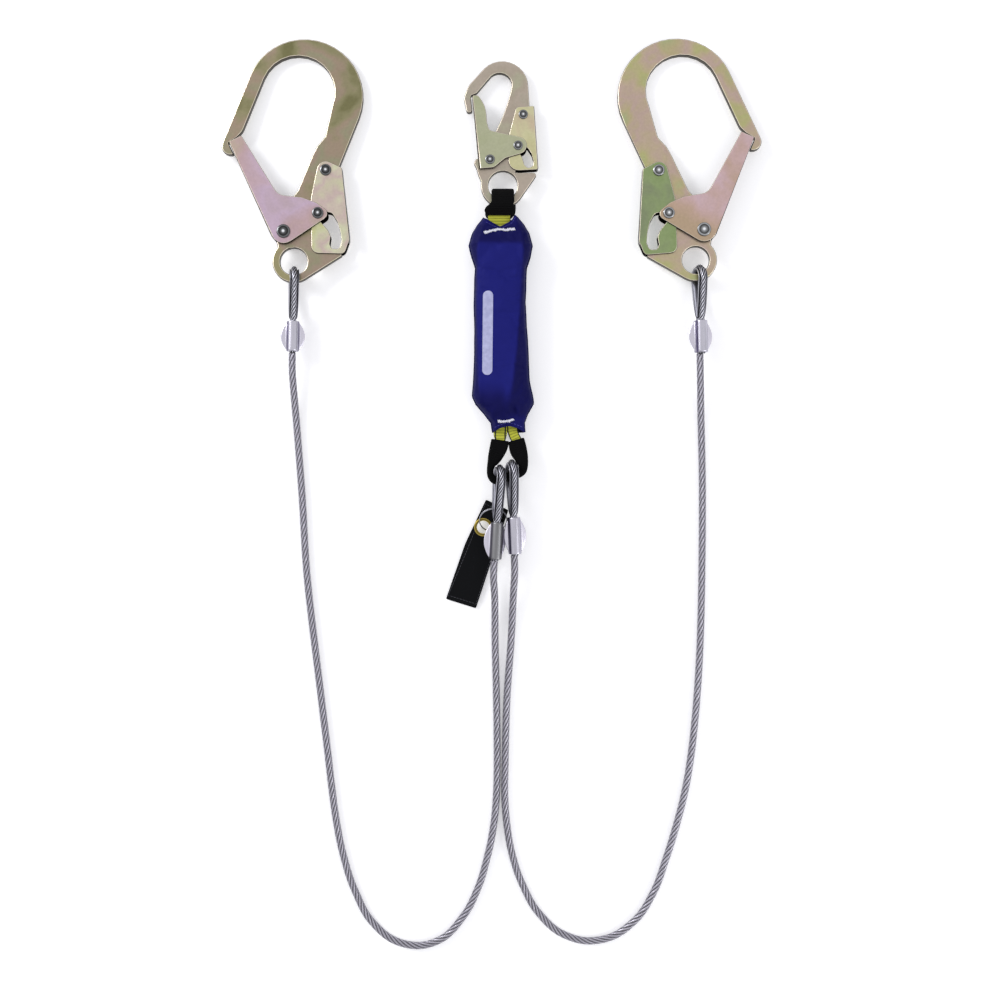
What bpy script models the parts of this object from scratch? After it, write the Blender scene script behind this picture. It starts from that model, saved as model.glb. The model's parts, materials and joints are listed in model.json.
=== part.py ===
"""Twin-leg steel cable shock absorber with a snap hook and two scaffold hooks.

It lies flat, as it would on a table. +Z is up, +Y runs from the absorber pack
towards the snap hook, and the origin is the centre of the pack's flat underside.
Lengths below are in millimetres and angles in degrees. Each hook is drawn in its
own plane: x across the hook, y from its eye towards its crown, z out of the plate.
"""

import math

import bmesh
import bpy
import numpy as np
from mathutils import Matrix, Vector

MM = 0.001
SIDES_ROUND = 16

# Sheet and plate thicknesses of the two hook sizes, all measured from the mid-plane.
LARGE_Z = {"plate": 3.5, "lock": (3.9, 5.5), "gate": (5.9, 7.5), "head": 9.7, "lock_head": 7.7}
SMALL_Z = {"plate": 3.0, "lock": (3.35, 4.65), "gate": (4.95, 6.3), "head": 7.9, "lock_head": 6.25}
RUNNING_GAP = 0.35
SIDE_GAP = 0.3
SHEET_CUTTER = 20.0

# Where the hooks lie: the eye's place on the floor plan, its turn and its height.
LEFT_EYE = (-205.4, 60.4)
LEFT_TURN = -21.5
RIGHT_EYE = (194.8, 61.8)
RIGHT_TURN = 24.5
LARGE_EYE_HEIGHT = 13.4
LARGE_LENGTH = 216.7
SNAP_EYE = (2.8, 136.7)
SNAP_EYE_HEIGHT = 10.4
SNAP_GATE_TIP = 91.0
SNAP_RIM = 18.3

# Steel cable: bare rope inside the thimbles, coated rope between the ferrules.
BARE_RADIUS = 3.1
COATED_RADIUS = 3.8
STRAND_OFFSET = 3.6
CROWN_RADIUS = 11.6
LOOP_ROLL = 12.0
CABLE_REST = 3.95
CABLE_POINTS = 40

# The four eye loops: plan centres of the eye and of its ferrule, height, the ferrule's
# length and how far its two wings of flash reach.
LOOP_VALUES = ("eye", "ferrule", "z", "length", "wings")
LOOP_ROWS = {
    "left_pack": ((-0.8, -155.8), (-4.0, -217.5), 17.2, 37.0, (12.4, 9.8)),
    "right_pack": ((11.8, -150.7), (14.2, -212.5), 17.2, 37.0, (10.4, 12.2)),
    "left_hook": ((-205.4, 41.5), (-206.5, -14.0), 14.6, 30.0, (12.0, 12.0)),
    "right_hook": ((198.6, 43.3), (200.1, -14.0), 14.6, 32.0, (12.4, 12.0)),
}
LOOPS = {name: dict(zip(LOOP_VALUES, row)) for name, row in LOOP_ROWS.items()}
THIMBLE_RADII = {"outside": (5.0, 4.5, 4.5, 4.5, 5.0), "inside": (4.0, 3.4, 3.4, 3.4, 4.0)}
THIMBLE_TURNS = (-78, -40, 0, 40, 78)
FERRULE_ROUND = 6.0
FERRULE_RISE = 2.5
FERRULE_BORE = 3.35
WING_ROOT = 5.2
WING_HALF = 0.7

COLOURS = {
    "zinc": ((0.72, 0.73, 0.75), 1.0, 0.32),
    "rivet": ((0.78, 0.79, 0.80), 1.0, 0.25),
    "spring": ((0.55, 0.56, 0.58), 1.0, 0.3),
    "cable": ((0.42, 0.43, 0.43), 0.9, 0.4),
    "coated": ((0.50, 0.50, 0.53), 0.6, 0.3),
    "thimble": ((0.50, 0.51, 0.50), 1.0, 0.35),
    "ferrule": ((0.74, 0.73, 0.77), 1.0, 0.35),
    "cover": ((0.03, 0.12, 0.48), 0.0, 0.8),
    "webbing": ((0.80, 0.62, 0.05), 0.0, 0.85),
    "sleeve": ((0.05, 0.05, 0.06), 0.0, 0.9),
    "thread": ((0.02, 0.02, 0.02), 0.0, 0.9),
    "brass": ((0.70, 0.50, 0.20), 1.0, 0.3),
}

for old in list(bpy.data.objects):
    bpy.data.objects.remove(old)

parts = bpy.data.collections.new("cable_shock_absorber")
cutters = bpy.data.collections.new("cutters")
bpy.context.scene.collection.children.link(parts)
bpy.context.scene.collection.children.link(cutters)
materials = {}
for label, (colour, metal, rough) in COLOURS.items():
    made = bpy.data.materials.new(label)
    made.use_nodes = True
    shader = made.node_tree.nodes["Principled BSDF"]
    shader.inputs["Base Color"].default_value = (*colour, 1.0)
    shader.inputs["Metallic"].default_value = metal
    shader.inputs["Roughness"].default_value = rough
    made.diffuse_color = (*colour, 1.0)
    materials[label] = made


# Flat outlines.


def arc(centre, radius, start, end, step=15.0):
    """Points along an arc, both ends included."""
    count = max(1, round(abs(end - start) / step))
    turn = np.radians(np.linspace(start, end, count + 1))
    return [(centre[0] + radius * math.cos(a), centre[1] + radius * math.sin(a)) for a in turn]


def outline(*items, step=20.0):
    """A closed outline from corners (x, y, fillet radius), plain points and arcs."""
    corners = []
    for item in items:
        run = item if isinstance(item, list) else [item]
        corners += [(p[0], p[1], p[2] if len(p) == 3 else 0.0) for p in run]
    points = []
    for index, (x, y, radius) in enumerate(corners):
        here = Vector((x, y))
        if radius == 0.0:
            points.append((x, y))
            continue
        back = Vector(corners[index - 1][:2]) - here
        ahead = Vector(corners[(index + 1) % len(corners)][:2]) - here
        half = back.angle(ahead) / 2
        reach = min(radius / math.tan(half), 0.48 * min(back.length, ahead.length))
        radius = reach * math.tan(half)
        centre = here + (back.normalized() + ahead.normalized()).normalized() * (radius / math.sin(half))
        first = here + back.normalized() * reach - centre
        sweep = first.angle_signed(here + ahead.normalized() * reach - centre)
        count = max(1, round(abs(math.degrees(sweep)) / (step if radius > 2.2 else 38.0)))
        for n in range(count + 1):
            spot = Matrix.Rotation(-sweep * n / count, 2) @ first + centre
            points.append((spot.x, spot.y))
    return points


def disc(centre, radius, sides=SIDES_ROUND):
    """A closed circle."""
    return arc(centre, radius, 0.0, 360.0, 360.0 / sides)[:-1]


def strip(path, half):
    """The outline of a strip of even thickness along an open path."""
    spots = [Vector(p) for p in path]
    sides = []
    for n, spot in enumerate(spots):
        back = (spot - spots[n - 1]).normalized() if n > 0 else None
        ahead = (spots[n + 1] - spot).normalized() if n < len(spots) - 1 else None
        run = ((back or ahead) + (ahead or back)).normalized()
        reach = half / max(run.dot(ahead or back), 0.5)
        sides.append(Vector((-run.y, run.x)) * reach)
    left = [(p.x + q.x, p.y + q.y) for p, q in zip(spots, sides)]
    right = [(p.x - q.x, p.y - q.y) for p, q in zip(spots, sides)]
    return right + left[::-1]


def shift(points, origin):
    """The same points counted from another origin."""
    return [(x - origin[0], y - origin[1]) for x, y in points]


# Meshes.


def as_object(name, mesh, colour, parent=None, place=(0.0, 0.0, 0.0)):
    """Put a finished mesh in the scene as a named part."""
    mesh.materials.clear()
    mesh.materials.append(materials[colour])
    item = bpy.data.objects.new(name, mesh)
    item.location = Vector(place) * MM
    item.parent = parent
    parts.objects.link(item)
    return item


def as_cutter(name, mesh, target):
    """Keep a helper solid beside the part that it cuts or joins."""
    item = bpy.data.objects.new(name, mesh)
    item.parent = target.parent
    item.location = target.location
    item.hide_render = True
    item.display_type = "WIRE"
    cutters.objects.link(item)
    return item


def combine(target, helper, operation="DIFFERENCE"):
    """One exact Boolean."""
    step = target.modifiers.new(helper.name, "BOOLEAN")
    step.operation = operation
    step.solver = "EXACT"
    step.object = helper


def flat_mesh(rings, low, high, merge_flats=False):
    """A plate between two heights from an outline and its holes."""
    curve = bpy.data.curves.new("outline", "CURVE")
    curve.dimensions = "2D"
    curve.fill_mode = "BOTH"
    curve.extrude = (high - low) / 2 * MM
    for ring in rings:
        spline = curve.splines.new("POLY")
        spline.points.add(len(ring) - 1)
        for point, (x, y) in zip(spline.points, ring):
            point.co = (x * MM, y * MM, 0.0, 1.0)
        spline.use_cyclic_u = True
    holder = bpy.data.objects.new("outline", curve)
    mesh = bpy.data.meshes.new_from_object(holder)
    bpy.data.objects.remove(holder)
    work = bmesh.new()
    work.from_mesh(mesh)
    bmesh.ops.remove_doubles(work, verts=work.verts, dist=1e-6)
    if merge_flats:
        bmesh.ops.dissolve_limit(work, angle_limit=0.01, verts=work.verts, edges=work.edges)
    bmesh.ops.translate(work, verts=work.verts, vec=(0.0, 0.0, (high + low) / 2 * MM))
    bmesh.ops.recalc_face_normals(work, faces=work.faces)
    work.to_mesh(mesh)
    work.free()
    return mesh


def skin(work, rings, closed=False, caps=True):
    """Stretch a skin over a row of rings."""
    rows = [[work.verts.new(Vector(p) * MM) for p in ring] for ring in rings]
    pairs = list(zip(rows, rows[1:]))
    if closed:
        pairs.append((rows[-1], rows[0]))
    for one, two in pairs:
        for n in range(len(one)):
            m = (n + 1) % len(one)
            work.faces.new((one[n], one[m], two[m], two[n]))
    if caps and not closed:
        work.faces.new(rows[0])
        work.faces.new(rows[-1])
    return rows


def finish(work):
    """Turn the faces outwards and hand back the mesh."""
    bmesh.ops.recalc_face_normals(work, faces=work.faces)
    mesh = bpy.data.meshes.new("solid")
    work.to_mesh(mesh)
    work.free()
    return mesh


def loft(rings, closed=False):
    """A solid skinned over a row of rings."""
    work = bmesh.new()
    skin(work, rings, closed)
    return finish(work)


def hollow(outer, inner):
    """An open tube between two skins."""
    work = bmesh.new()
    out_rows = skin(work, outer, caps=False)
    in_rows = skin(work, inner, caps=False)
    for one, two in ((out_rows[0], in_rows[0]), (out_rows[-1], in_rows[-1])):
        for n in range(len(one)):
            m = (n + 1) % len(one)
            work.faces.new((one[n], one[m], two[m], two[n]))
    return finish(work)


def wire(points, radius, fine=2, cyclic=False):
    """A round bar along a path, 8 sides when fine is 2 and 6 when it is 1."""
    curve = bpy.data.curves.new("path", "CURVE")
    curve.dimensions = "3D"
    curve.bevel_depth = radius * MM
    curve.bevel_resolution = fine
    curve.use_fill_caps = True
    spline = curve.splines.new("POLY")
    spline.points.add(len(points) - 1)
    for point, spot in zip(spline.points, points):
        point.co = (*(Vector(spot) * MM), 1.0)
    spline.use_cyclic_u = cyclic
    holder = bpy.data.objects.new("path", curve)
    mesh = bpy.data.meshes.new_from_object(holder)
    bpy.data.objects.remove(holder)
    work = bmesh.new()
    work.from_mesh(mesh)
    bmesh.ops.remove_doubles(work, verts=work.verts, dist=1e-6)
    bmesh.ops.recalc_face_normals(work, faces=work.faces)
    work.to_mesh(mesh)
    work.free()
    return mesh


def turned(name, profile, colour, parent, place, sides=SIDES_ROUND, cyclic=False):
    """A turned part: the profile (radius, height) runs top to bottom."""
    mesh = bpy.data.meshes.new(name)
    points = [(r * MM, 0.0, z * MM) for r, z in profile]
    edges = [(n, n + 1) for n in range(len(points) - 1)]
    if cyclic:
        edges.append((len(points) - 1, 0))
    mesh.from_pydata(points, edges, [])
    item = as_object(name, mesh, colour, parent, place)
    spin = item.modifiers.new("turn", "SCREW")
    spin.steps = sides
    spin.render_steps = sides
    spin.use_merge_vertices = True
    spin.merge_threshold = 1e-6
    spin.use_smooth_shade = False
    return item


placed = {}


def empty(name, matrix, parent=None):
    """A placing frame. The matrix is counted from the parent."""
    item = bpy.data.objects.new(name, None)
    item.parent = parent
    item.matrix_basis = matrix
    parts.objects.link(item)
    placed[name] = (placed[parent.name] if parent else Matrix()) @ matrix
    return item


def frame_at(x, y, z):
    """A matrix that only moves, in millimetres."""
    return Matrix.Translation(Vector((x, y, z)) * MM)


# Hooks. The names G, T and K stand for the gate rivet, the pin in the gate's tail
# and the lock rivet. Opening turns both the gate and the lock clockwise.


LARGE = {
    "G": (-19.7, 23.7), "T": (5.0, 53.3), "K": (-4.2, 96.8),
    "eye": 13.6, "shaft": (3.2, 3.0, 3.0), "heads": (6.7, 5.6, 5.6), "z": LARGE_Z,
    "seat": (-59.5, 160.3, 36.5, 180.0 / 13),
    "gate_web": ((-29.3, 14.7), (-103.9, 87.0), 1.6, 2.1),
    "lock_web": ((42.7, 43.0), (10.0, 104.8), 1.6, 1.8),
    "gate_cut_below": None,
    "pocket": (5.7, 4.4), "gate_spring": (4.6, 8.4, 1.0), "lock_spring": (4.2, 0.98, 13.2),
}
LARGE["frame"] = outline(
    (44.0, 24.7, 1.6),
    arc(LARGE["G"], 34.4, 1.7, 47.0),
    arc(LARGE["T"], 4.2, 255.0, 90.0, 27.0),
    (7.0, 57.6, 1.0),
    arc((-51.7, 158.0), 58.7, 0.0, 180.0, 9.0),
    arc((-101.6, 84.2), 8.8, 180.0, 315.0, 18.0),
    (-104.9, 86.5, 1.0),
    (-99.1, 94.6, 4.0),
    (-96.0, 103.0, 8.0),
    arc(LARGE["seat"][:2], LARGE["seat"][2], 180.0, 0.0, LARGE["seat"][3]),
    (-20.9, 147.6),
    (-17.7, 127.9, 5.0),
    (-21.7, 115.8, 4.0),
    (-22.4, 108.0),
    (-22.9, 66.0, 10.0),
    (-30.0, 46.0, 8.0),
    arc(LARGE["G"], 10.3, 180.0, 240.0),
    arc((0.0, 0.0), 21.3, 160.0, 323.1, 12.0),
)
LARGE["gate"] = outline(
    arc(LARGE["G"], 12.2, 232.0, 325.4, 16.0),
    (18.3, 57.8, 6.0),
    (-8.0, 64.2, 30.0),
    (-38.5, 55.6, 12.0),
    (-92.8, 96.2),
    (-94.5, 97.6, 2.0),
    (-103.9, 87.0, 1.5),
    (-29.3, 14.7),
)
LARGE["lock"] = outline(
    arc(LARGE["K"], 8.8, 90.0, 190.0, 17.0),
    (-7.2, 64.1),
    (13.6, 13.9, 7.0),
    (44.3, 25.2, 5.0),
    (43.9, 40.0),
    (42.7, 43.0),
    (10.0, 104.8, 1.5),
)
LARGE["slot"] = outline(
    (6.6, 56.4),
    arc(LARGE["T"], RUNNING_GAP + 3.05, 62.0, 242.0, 30.0),
    (20.8, 41.0),
    (25.2, 36.5),
    (27.1, 28.8, 3.0),
    (30.8, 25.3, 3.0),
    (37.9, 28.2, 4.0),
    (37.1, 36.1),
    (32.8, 43.8),
    (25.9, 52.7),
    (17.7, 58.8, 4.0),
)

SMALL = {
    "G": (-12.7, 25.4), "T": (15.3, 39.5), "K": (20.5, 71.3),
    "eye": 14.65, "shaft": (2.5, 2.4, 2.4), "heads": (4.7, 4.6, 4.6), "z": SMALL_Z,
    "seat": (-3.3, 101.5, 12.3, 17.0),
    "gate_web": ((-23.7, 15.9), (-30.65, 90.2), 1.35, 1.6),
    "lock_web": ((35.6, 15.6), (31.3, 80.0), 1.3, 1.5),
    "gate_cut_below": 28.3,
    "pocket": (4.4, 3.9), "gate_spring": (3.7, 6.6, 0.9), "lock_spring": (3.3, 0.82, 7.6),
}
SMALL["frame"] = outline(
    (35.5, 12.9, 2.6),
    arc(SMALL["G"], 27.9, -26.6, 18.0),
    arc(SMALL["T"], 3.4, 225.0, 90.0, 27.0),
    (23.0, 43.5, 2.0),
    (26.5, 72.0),
    (26.6, 82.0),
    arc((-0.5, 100.0), 26.0, 0.0, 135.0, 12.0),
    (-34.9, 100.6, 12.0),
    (-39.1, 88.0, 6.0),
    (-35.9, 73.4, 2.4),
    (-30.4, 73.8, 2.0),
    (-32.1, 90.6, 1.5),
    (-26.0, 93.4, 3.0),
    (-22.2, 98.0),
    arc(SMALL["seat"][:2], SMALL["seat"][2], 132.5, -3.5, SMALL["seat"][3]),
    (7.8, 94.8),
    (4.6, 83.4),
    (0.8, 72.5),
    (-3.1, 63.0),
    (-7.5, 54.0),
    (-14.0, 38.0, 6.0),
    (-20.5, 31.0, 2.0),
    (-22.5, 27.2),
    arc((-24.3, 22.8), 4.4, 85.0, 200.0, 23.0),
    (-26.1, 16.7),
    (-24.7, 11.0),
    arc((0.0, 0.0), 22.0, 170.0, 321.0, 12.6),
)
SMALL["gate"] = outline(
    (-23.7, 15.9),
    (-9.0, 17.2, 6.0),
    (2.5, 26.6, 6.0),
    arc(SMALL["T"], 8.8, -72.0, 76.0, 21.0),
    (-8.2, 53.6),
    (-13.5, 54.8, 7.0),
    (-15.8, 63.0),
    (-16.4, 72.5, 20.0),
    (-18.4, 80.2),
    (-21.5, 85.9),
    (-24.7, 90.1, 3.0),
    (-30.65, 90.2, 1.5),
)
SMALL["lock"] = outline(
    (35.6, 15.6, 2.0),
    (31.3, 80.0, 1.0),
    (13.3, 78.9, 4.0),
    (5.9, 50.0),
    (5.5, 14.1, 10.0),
)
SMALL["slot"] = outline(
    arc(SMALL["T"], RUNNING_GAP + 2.45, 36.0, 216.0, 30.0),
    (17.4, 31.6),
    (19.6, 27.0),
    (21.6, 20.2, 2.0),
    (25.1, 16.9, 3.0),
    (30.2, 19.3, 3.0),
    (30.5, 25.0),
    (28.8, 30.9),
    (24.7, 37.2, 3.0),
)


def folded(name, points, web, half, parent, origin):
    """A folded sheet before its inside is cut: both long edges of the web are rounded."""
    start, end, sheet, bend = web
    mesh = flat_mesh([shift(points, origin)], -half, half, merge_flats=True)
    work = bmesh.new()
    work.from_mesh(mesh)
    run = (Vector(end) - Vector(start)).normalized()
    side = Vector((-run.y, run.x))
    foot = Vector(start) - Vector(origin)
    on_web = [
        edge
        for edge in work.edges
        if edge.calc_length() > 20 * MM
        and all(abs((v.co.xy / MM - foot).dot(side)) < 0.05 for v in edge.verts)
        and all(abs(abs(v.co.z) - half * MM) < 1e-6 for v in edge.verts)
    ]
    bmesh.ops.bevel(work, geom=on_web, offset=bend * MM, segments=3, profile=0.5, affect="EDGES")
    bmesh.ops.recalc_face_normals(work, faces=work.faces)
    work.to_mesh(mesh)
    work.free()
    return as_object(name, mesh, "zinc", parent)


def inside_of_fold(web, inward, origin, cut_below=None):
    """The space between the cheeks of a folded sheet, open away from its web."""
    start = Vector(web[0])
    run = (Vector(web[1]) - start).normalized()
    side = Vector((-run.y, run.x))
    if side.dot(Vector(inward) - start) < 0:
        side = -side
    near = start + side * web[2]
    back, ahead, deep = 60.0, 200.0, 170.0
    corners = [near - run * back, near + run * ahead]
    corners += [corners[1] + side * deep, corners[0] + side * deep]
    if cut_below is not None:
        knee = near + run * ((cut_below - near.y) / run.y)
        corners = [knee, *corners[1:3]]
        corners += [Vector((deep, -back)), Vector((-back, -back)), Vector((-back, cut_below))]
    return [(p.x - origin[0], p.y - origin[1]) for p in corners]


def rivet(name, radius, head, under, top, parent, spot):
    """A shaft with a flat-domed head at each end."""
    flat, rim = 0.72 * head, under + 0.4 * (top - under)
    half = [(0.0, top), (flat, top), (head, rim), (head, under), (radius, under)]
    turned(name, half + [(r, -z) for r, z in reversed(half)], "rivet", parent, (*spot, 0.0), 14)


def spring_pocket(prefix, hook, frame):
    """The round pocket of the lock's spring, with a groove for its leg to the plate's edge."""
    k = hook["K"]
    radius, depth = hook["pocket"]
    coil = hook["lock_spring"][0]
    half_groove, past_edge, above = 1.05, 30.0, 4.0
    groove = (k[1] - coil - half_groove, k[1] - coil + half_groove)
    turn_in = [math.degrees(math.asin((y - k[1]) / radius)) for y in groove]
    mouth = outline(
        arc(k, radius, turn_in[1], 360.0 + turn_in[0], 18.0),
        (k[0] + past_edge, groove[0]),
        (k[0] + past_edge, groove[1]),
    )
    face = hook["z"]["plate"]
    return as_cutter(prefix + "_pocket", flat_mesh([mouth], face - depth, face + above), frame)


def hook_springs(prefix, hook, gate_axis, holder):
    """The flat spiral spring on the gate's axle and the coil spring under the lock."""
    z = hook["z"]
    turns, steps = 2.0, 20
    first, last, wire_size = hook["gate_spring"]
    middle = (z["plate"] + z["gate"][0]) / 2
    start = 250.0
    spiral = []
    for n in range(steps + 1):
        angle = math.radians(start + 360.0 * turns * n / steps)
        radius = first + (last - first) * n / steps
        spiral.append((radius * math.cos(angle), radius * math.sin(angle), middle))
    as_object(prefix + "_gate_spring", wire(spiral, wire_size / 2, 1), "spring", gate_axis)
    print(f"{prefix} gate spring: least gap between turns {(last - first) / turns - wire_size:.2f} mm")

    coil, thick, leg_end = hook["lock_spring"]
    depth, room = hook["pocket"][1], 0.25
    bottom = z["plate"] - depth + room + thick / 2
    pitch = (depth - 2 * room - thick) / turns
    start = -450.0
    helix = []
    for n in range(steps + 1):
        angle = math.radians(start + 360.0 * turns * n / steps)
        helix.append((coil * math.cos(angle), coil * math.sin(angle), bottom + pitch * turns * n / steps))
    helix.append((leg_end, -coil, helix[-1][2]))
    as_object(prefix + "_lock_spring", wire(helix, thick / 2, 1), "spring", holder, (*hook["K"], 0.0))
    print(f"{prefix} lock spring: least gap between turns {pitch - thick:.2f} mm")


def build_hook(prefix, hook, holder):
    """All eight pieces of one hook, hung on its placing frame."""
    z = hook["z"]
    g, t, k = hook["G"], hook["T"], hook["K"]
    g_shaft, t_shaft, k_shaft = hook["shaft"]
    origin = (0.0, 0.0)

    holes = [disc(origin, hook["eye"], 26), disc(g, g_shaft + RUNNING_GAP), disc(k, k_shaft + RUNNING_GAP)]
    frame = as_object(
        prefix + "_frame", flat_mesh([hook["frame"], *holes], -z["plate"], z["plate"]), "zinc", holder
    )
    combine(frame, spring_pocket(prefix, hook, frame))

    gate_axis = empty(prefix + "_gate_axis", frame_at(*g, 0.0), holder)
    lock_axis = empty(prefix + "_lock_axis", frame_at(*k, 0.0), holder)
    gate = folded(prefix + "_gate", hook["gate"], hook["gate_web"], z["gate"][1], gate_axis, g)
    room = inside_of_fold(hook["gate_web"], t, g, hook["gate_cut_below"])
    combine(gate, as_cutter(prefix + "_gate_room", flat_mesh([room], -z["gate"][0], z["gate"][0]), gate))
    bores = [shift(disc(g, g_shaft + RUNNING_GAP), g), shift(disc(t, t_shaft + RUNNING_GAP), g)]
    combine(gate, as_cutter(prefix + "_gate_bores", flat_mesh(bores, -SHEET_CUTTER, SHEET_CUTTER), gate))

    lock = folded(prefix + "_lock", hook["lock"], hook["lock_web"], z["lock"][1], lock_axis, k)
    room = inside_of_fold(hook["lock_web"], origin, k)
    combine(lock, as_cutter(prefix + "_lock_room", flat_mesh([room], -z["lock"][0], z["lock"][0]), lock))
    bores = [shift(disc(k, k_shaft + RUNNING_GAP), k), shift(hook["slot"], k)]
    combine(lock, as_cutter(prefix + "_lock_bores", flat_mesh(bores, -SHEET_CUTTER, SHEET_CUTTER), lock))

    on_gate = z["gate"][1] + SIDE_GAP
    on_lock = z["lock"][1] + SIDE_GAP
    heads = hook["heads"]
    rivet(prefix + "_gate_rivet", g_shaft, heads[0], on_gate, z["head"], holder, g)
    rivet(prefix + "_tail_pin", t_shaft, heads[1], on_gate, z["head"], gate_axis, *shift([t], g))
    rivet(prefix + "_lock_rivet", k_shaft, heads[2], on_lock, z["lock_head"], holder, k)
    hook_springs(prefix, hook, gate_axis, holder)


def lying_down(eye, height, turn, length, half_plate, flipped=False):
    """A hook resting on its crown or its gate, with its eye held up at a height."""
    tilt = math.asin((height - half_plate) / length)
    matrix = Matrix.Translation(Vector((*eye, height)) * MM)
    matrix = matrix @ Matrix.Rotation(math.radians(turn), 4, "Z") @ Matrix.Rotation(-tilt, 4, "X")
    if flipped:
        matrix = matrix @ Matrix.Rotation(math.pi, 4, "Y")
    return matrix


# Cable loops.


def loop_place(spec):
    """The placing frame of one loop: x across, y towards the crown, z up the strands."""
    eye, ferrule = Vector(spec["eye"]), Vector(spec["ferrule"])
    run = eye - ferrule
    yaw = math.atan2(-run.x, run.y)
    matrix = Matrix.Translation(Vector((*spec["eye"], spec["z"])) * MM)
    return matrix @ Matrix.Rotation(yaw, 4, "Z") @ Matrix.Rotation(math.radians(LOOP_ROLL), 4, "Y")


def loop_sizes(spec):
    """Distance from crown centre to the ferrule's near and far ends."""
    reach = (Vector(spec["eye"]) - Vector(spec["ferrule"])).length
    return reach - spec["length"] / 2, reach + spec["length"] / 2


def build_loop(prefix, spec, holder):
    """The bare rope's eye, its thimble and its pressed ferrule."""
    near, far = loop_sizes(spec)
    span = math.hypot(near, STRAND_OFFSET)
    tangent = math.pi - math.atan2(STRAND_OFFSET, near) - math.acos(CROWN_RADIUS / span)
    touch = (CROWN_RADIUS * math.cos(tangent), CROWN_RADIUS * math.sin(tangent))
    crown = [
        (CROWN_RADIUS * math.cos(a), CROWN_RADIUS * math.sin(a)) for a in np.linspace(tangent, -tangent, 13)
    ]

    def on_line(share):
        return (-near + (touch[0] + near) * share, STRAND_OFFSET + (touch[1] - STRAND_OFFSET) * share)

    upper = [(-far - 1.2, STRAND_OFFSET), (-near + 0.6, STRAND_OFFSET), on_line(0.12)]
    lower = [(a, -b) for a, b in reversed(upper)]
    lower[-1] = (-far - 1.0, -STRAND_OFFSET)
    rope = [(0.0, a, b) for a, b in upper + crown + lower]
    as_object(prefix + "_eye", wire(rope, BARE_RADIUS), "cable", holder)

    sides = [on_line(0.52), on_line(0.76)]
    track = sides + crown + [(a, -b) for a, b in reversed(sides)]
    rings = []
    for n, (a, b) in enumerate(track):
        before = track[max(n - 1, 0)]
        after = track[min(n + 1, len(track) - 1)]
        run = Vector((after[0] - before[0], after[1] - before[1])).normalized()
        inward = Vector((run.y, -run.x))
        if inward.dot(Vector((a, b))) > 0:
            inward = -inward
        ring = []
        outside = zip(THIMBLE_RADII["outside"], THIMBLE_TURNS)
        inside = zip(THIMBLE_RADII["inside"], reversed(THIMBLE_TURNS))
        for radius, turn in (*outside, *inside):
            depth = radius * math.cos(math.radians(turn))
            across = radius * math.sin(math.radians(turn))
            ring.append((across, a + inward.x * depth, b + inward.y * depth))
        rings.append(ring)
    as_object(prefix + "_thimble", loft(rings), "thimble", holder)

    def oval(share, along):
        top = arc((0.0, FERRULE_RISE), FERRULE_ROUND * share, 0.0, 180.0, 30.0)
        foot = arc((0.0, -FERRULE_RISE), FERRULE_ROUND * share, 180.0, 360.0, 30.0)
        return [(x, along, z) for x, z in top + foot]

    body = loft([oval(0.9, -near), oval(1.0, -near - 1.0), oval(1.0, -far + 1.0), oval(0.9, -far)])
    ferrule = as_object(prefix + "_ferrule", body, "ferrule", holder)
    middle = (near + far) / 2
    half = (far - near) / 2 - 0.8
    flash = []
    for side, reach in ((1, spec["wings"][1]), (-1, spec["wings"][0])):
        for n in range(9):
            share = -1.0 + 2.0 * n / 8
            out = WING_ROOT + (reach - WING_ROOT) * math.cos(share * math.pi / 2) ** 0.8
            flash.append((side * out, -middle + side * share * half))
    wings = as_cutter(prefix + "_wings", flat_mesh([flash], -WING_HALF, WING_HALF), ferrule)
    combine(ferrule, wings, "UNION")
    past_end = 6.0
    bores = bmesh.new()
    for height in (STRAND_OFFSET, -STRAND_OFFSET):
        circle = disc((0.0, 0.0), FERRULE_BORE, 14)
        ends = (-near + past_end, -far - past_end)
        skin(bores, [[(x, along, height + z) for x, z in circle] for along in ends])
    combine(ferrule, as_cutter(prefix + "_bores", finish(bores), ferrule))


def smooth_route(points, spacing=4.0):
    """A dense, smooth plan curve through the route points."""
    spots = [Vector(p) for p in points]
    spots = [2 * spots[0] - spots[1], *spots, 2 * spots[-1] - spots[-2]]
    dense = []
    for a, b, c, d in zip(spots, spots[1:], spots[2:], spots[3:]):
        count = max(2, round((c - b).length / spacing))
        lean_b = (c - a) * ((c - b).length / ((c - b).length + (b - a).length))
        lean_c = (d - b) * ((c - b).length / ((c - b).length + (d - c).length))
        for n in range(count):
            t = n / count
            dense.append(
                b * (2 * t**3 - 3 * t**2 + 1)
                + lean_b * (t**3 - 2 * t**2 + t)
                + c * (-2 * t**3 + 3 * t**2)
                + lean_c * (t**3 - t**2)
            )
    dense.append(spots[-2])
    return dense


def thinned(dense, count, bend_weight=110.0):
    """Fewer points, closer together in the bends."""
    steps = [0.0]
    for n in range(1, len(dense)):
        run = dense[n] - dense[n - 1]
        before = dense[n - 1] - dense[n - 2] if n > 1 else run
        steps.append(run.length + bend_weight * before.angle(run))
    along = np.cumsum(steps)
    wanted = np.linspace(0.0, along[-1], count)
    array = np.array([tuple(p) for p in dense])
    return [tuple(np.interp(w, along, array[:, axis]) for axis in range(array.shape[1])) for w in wanted]


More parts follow.
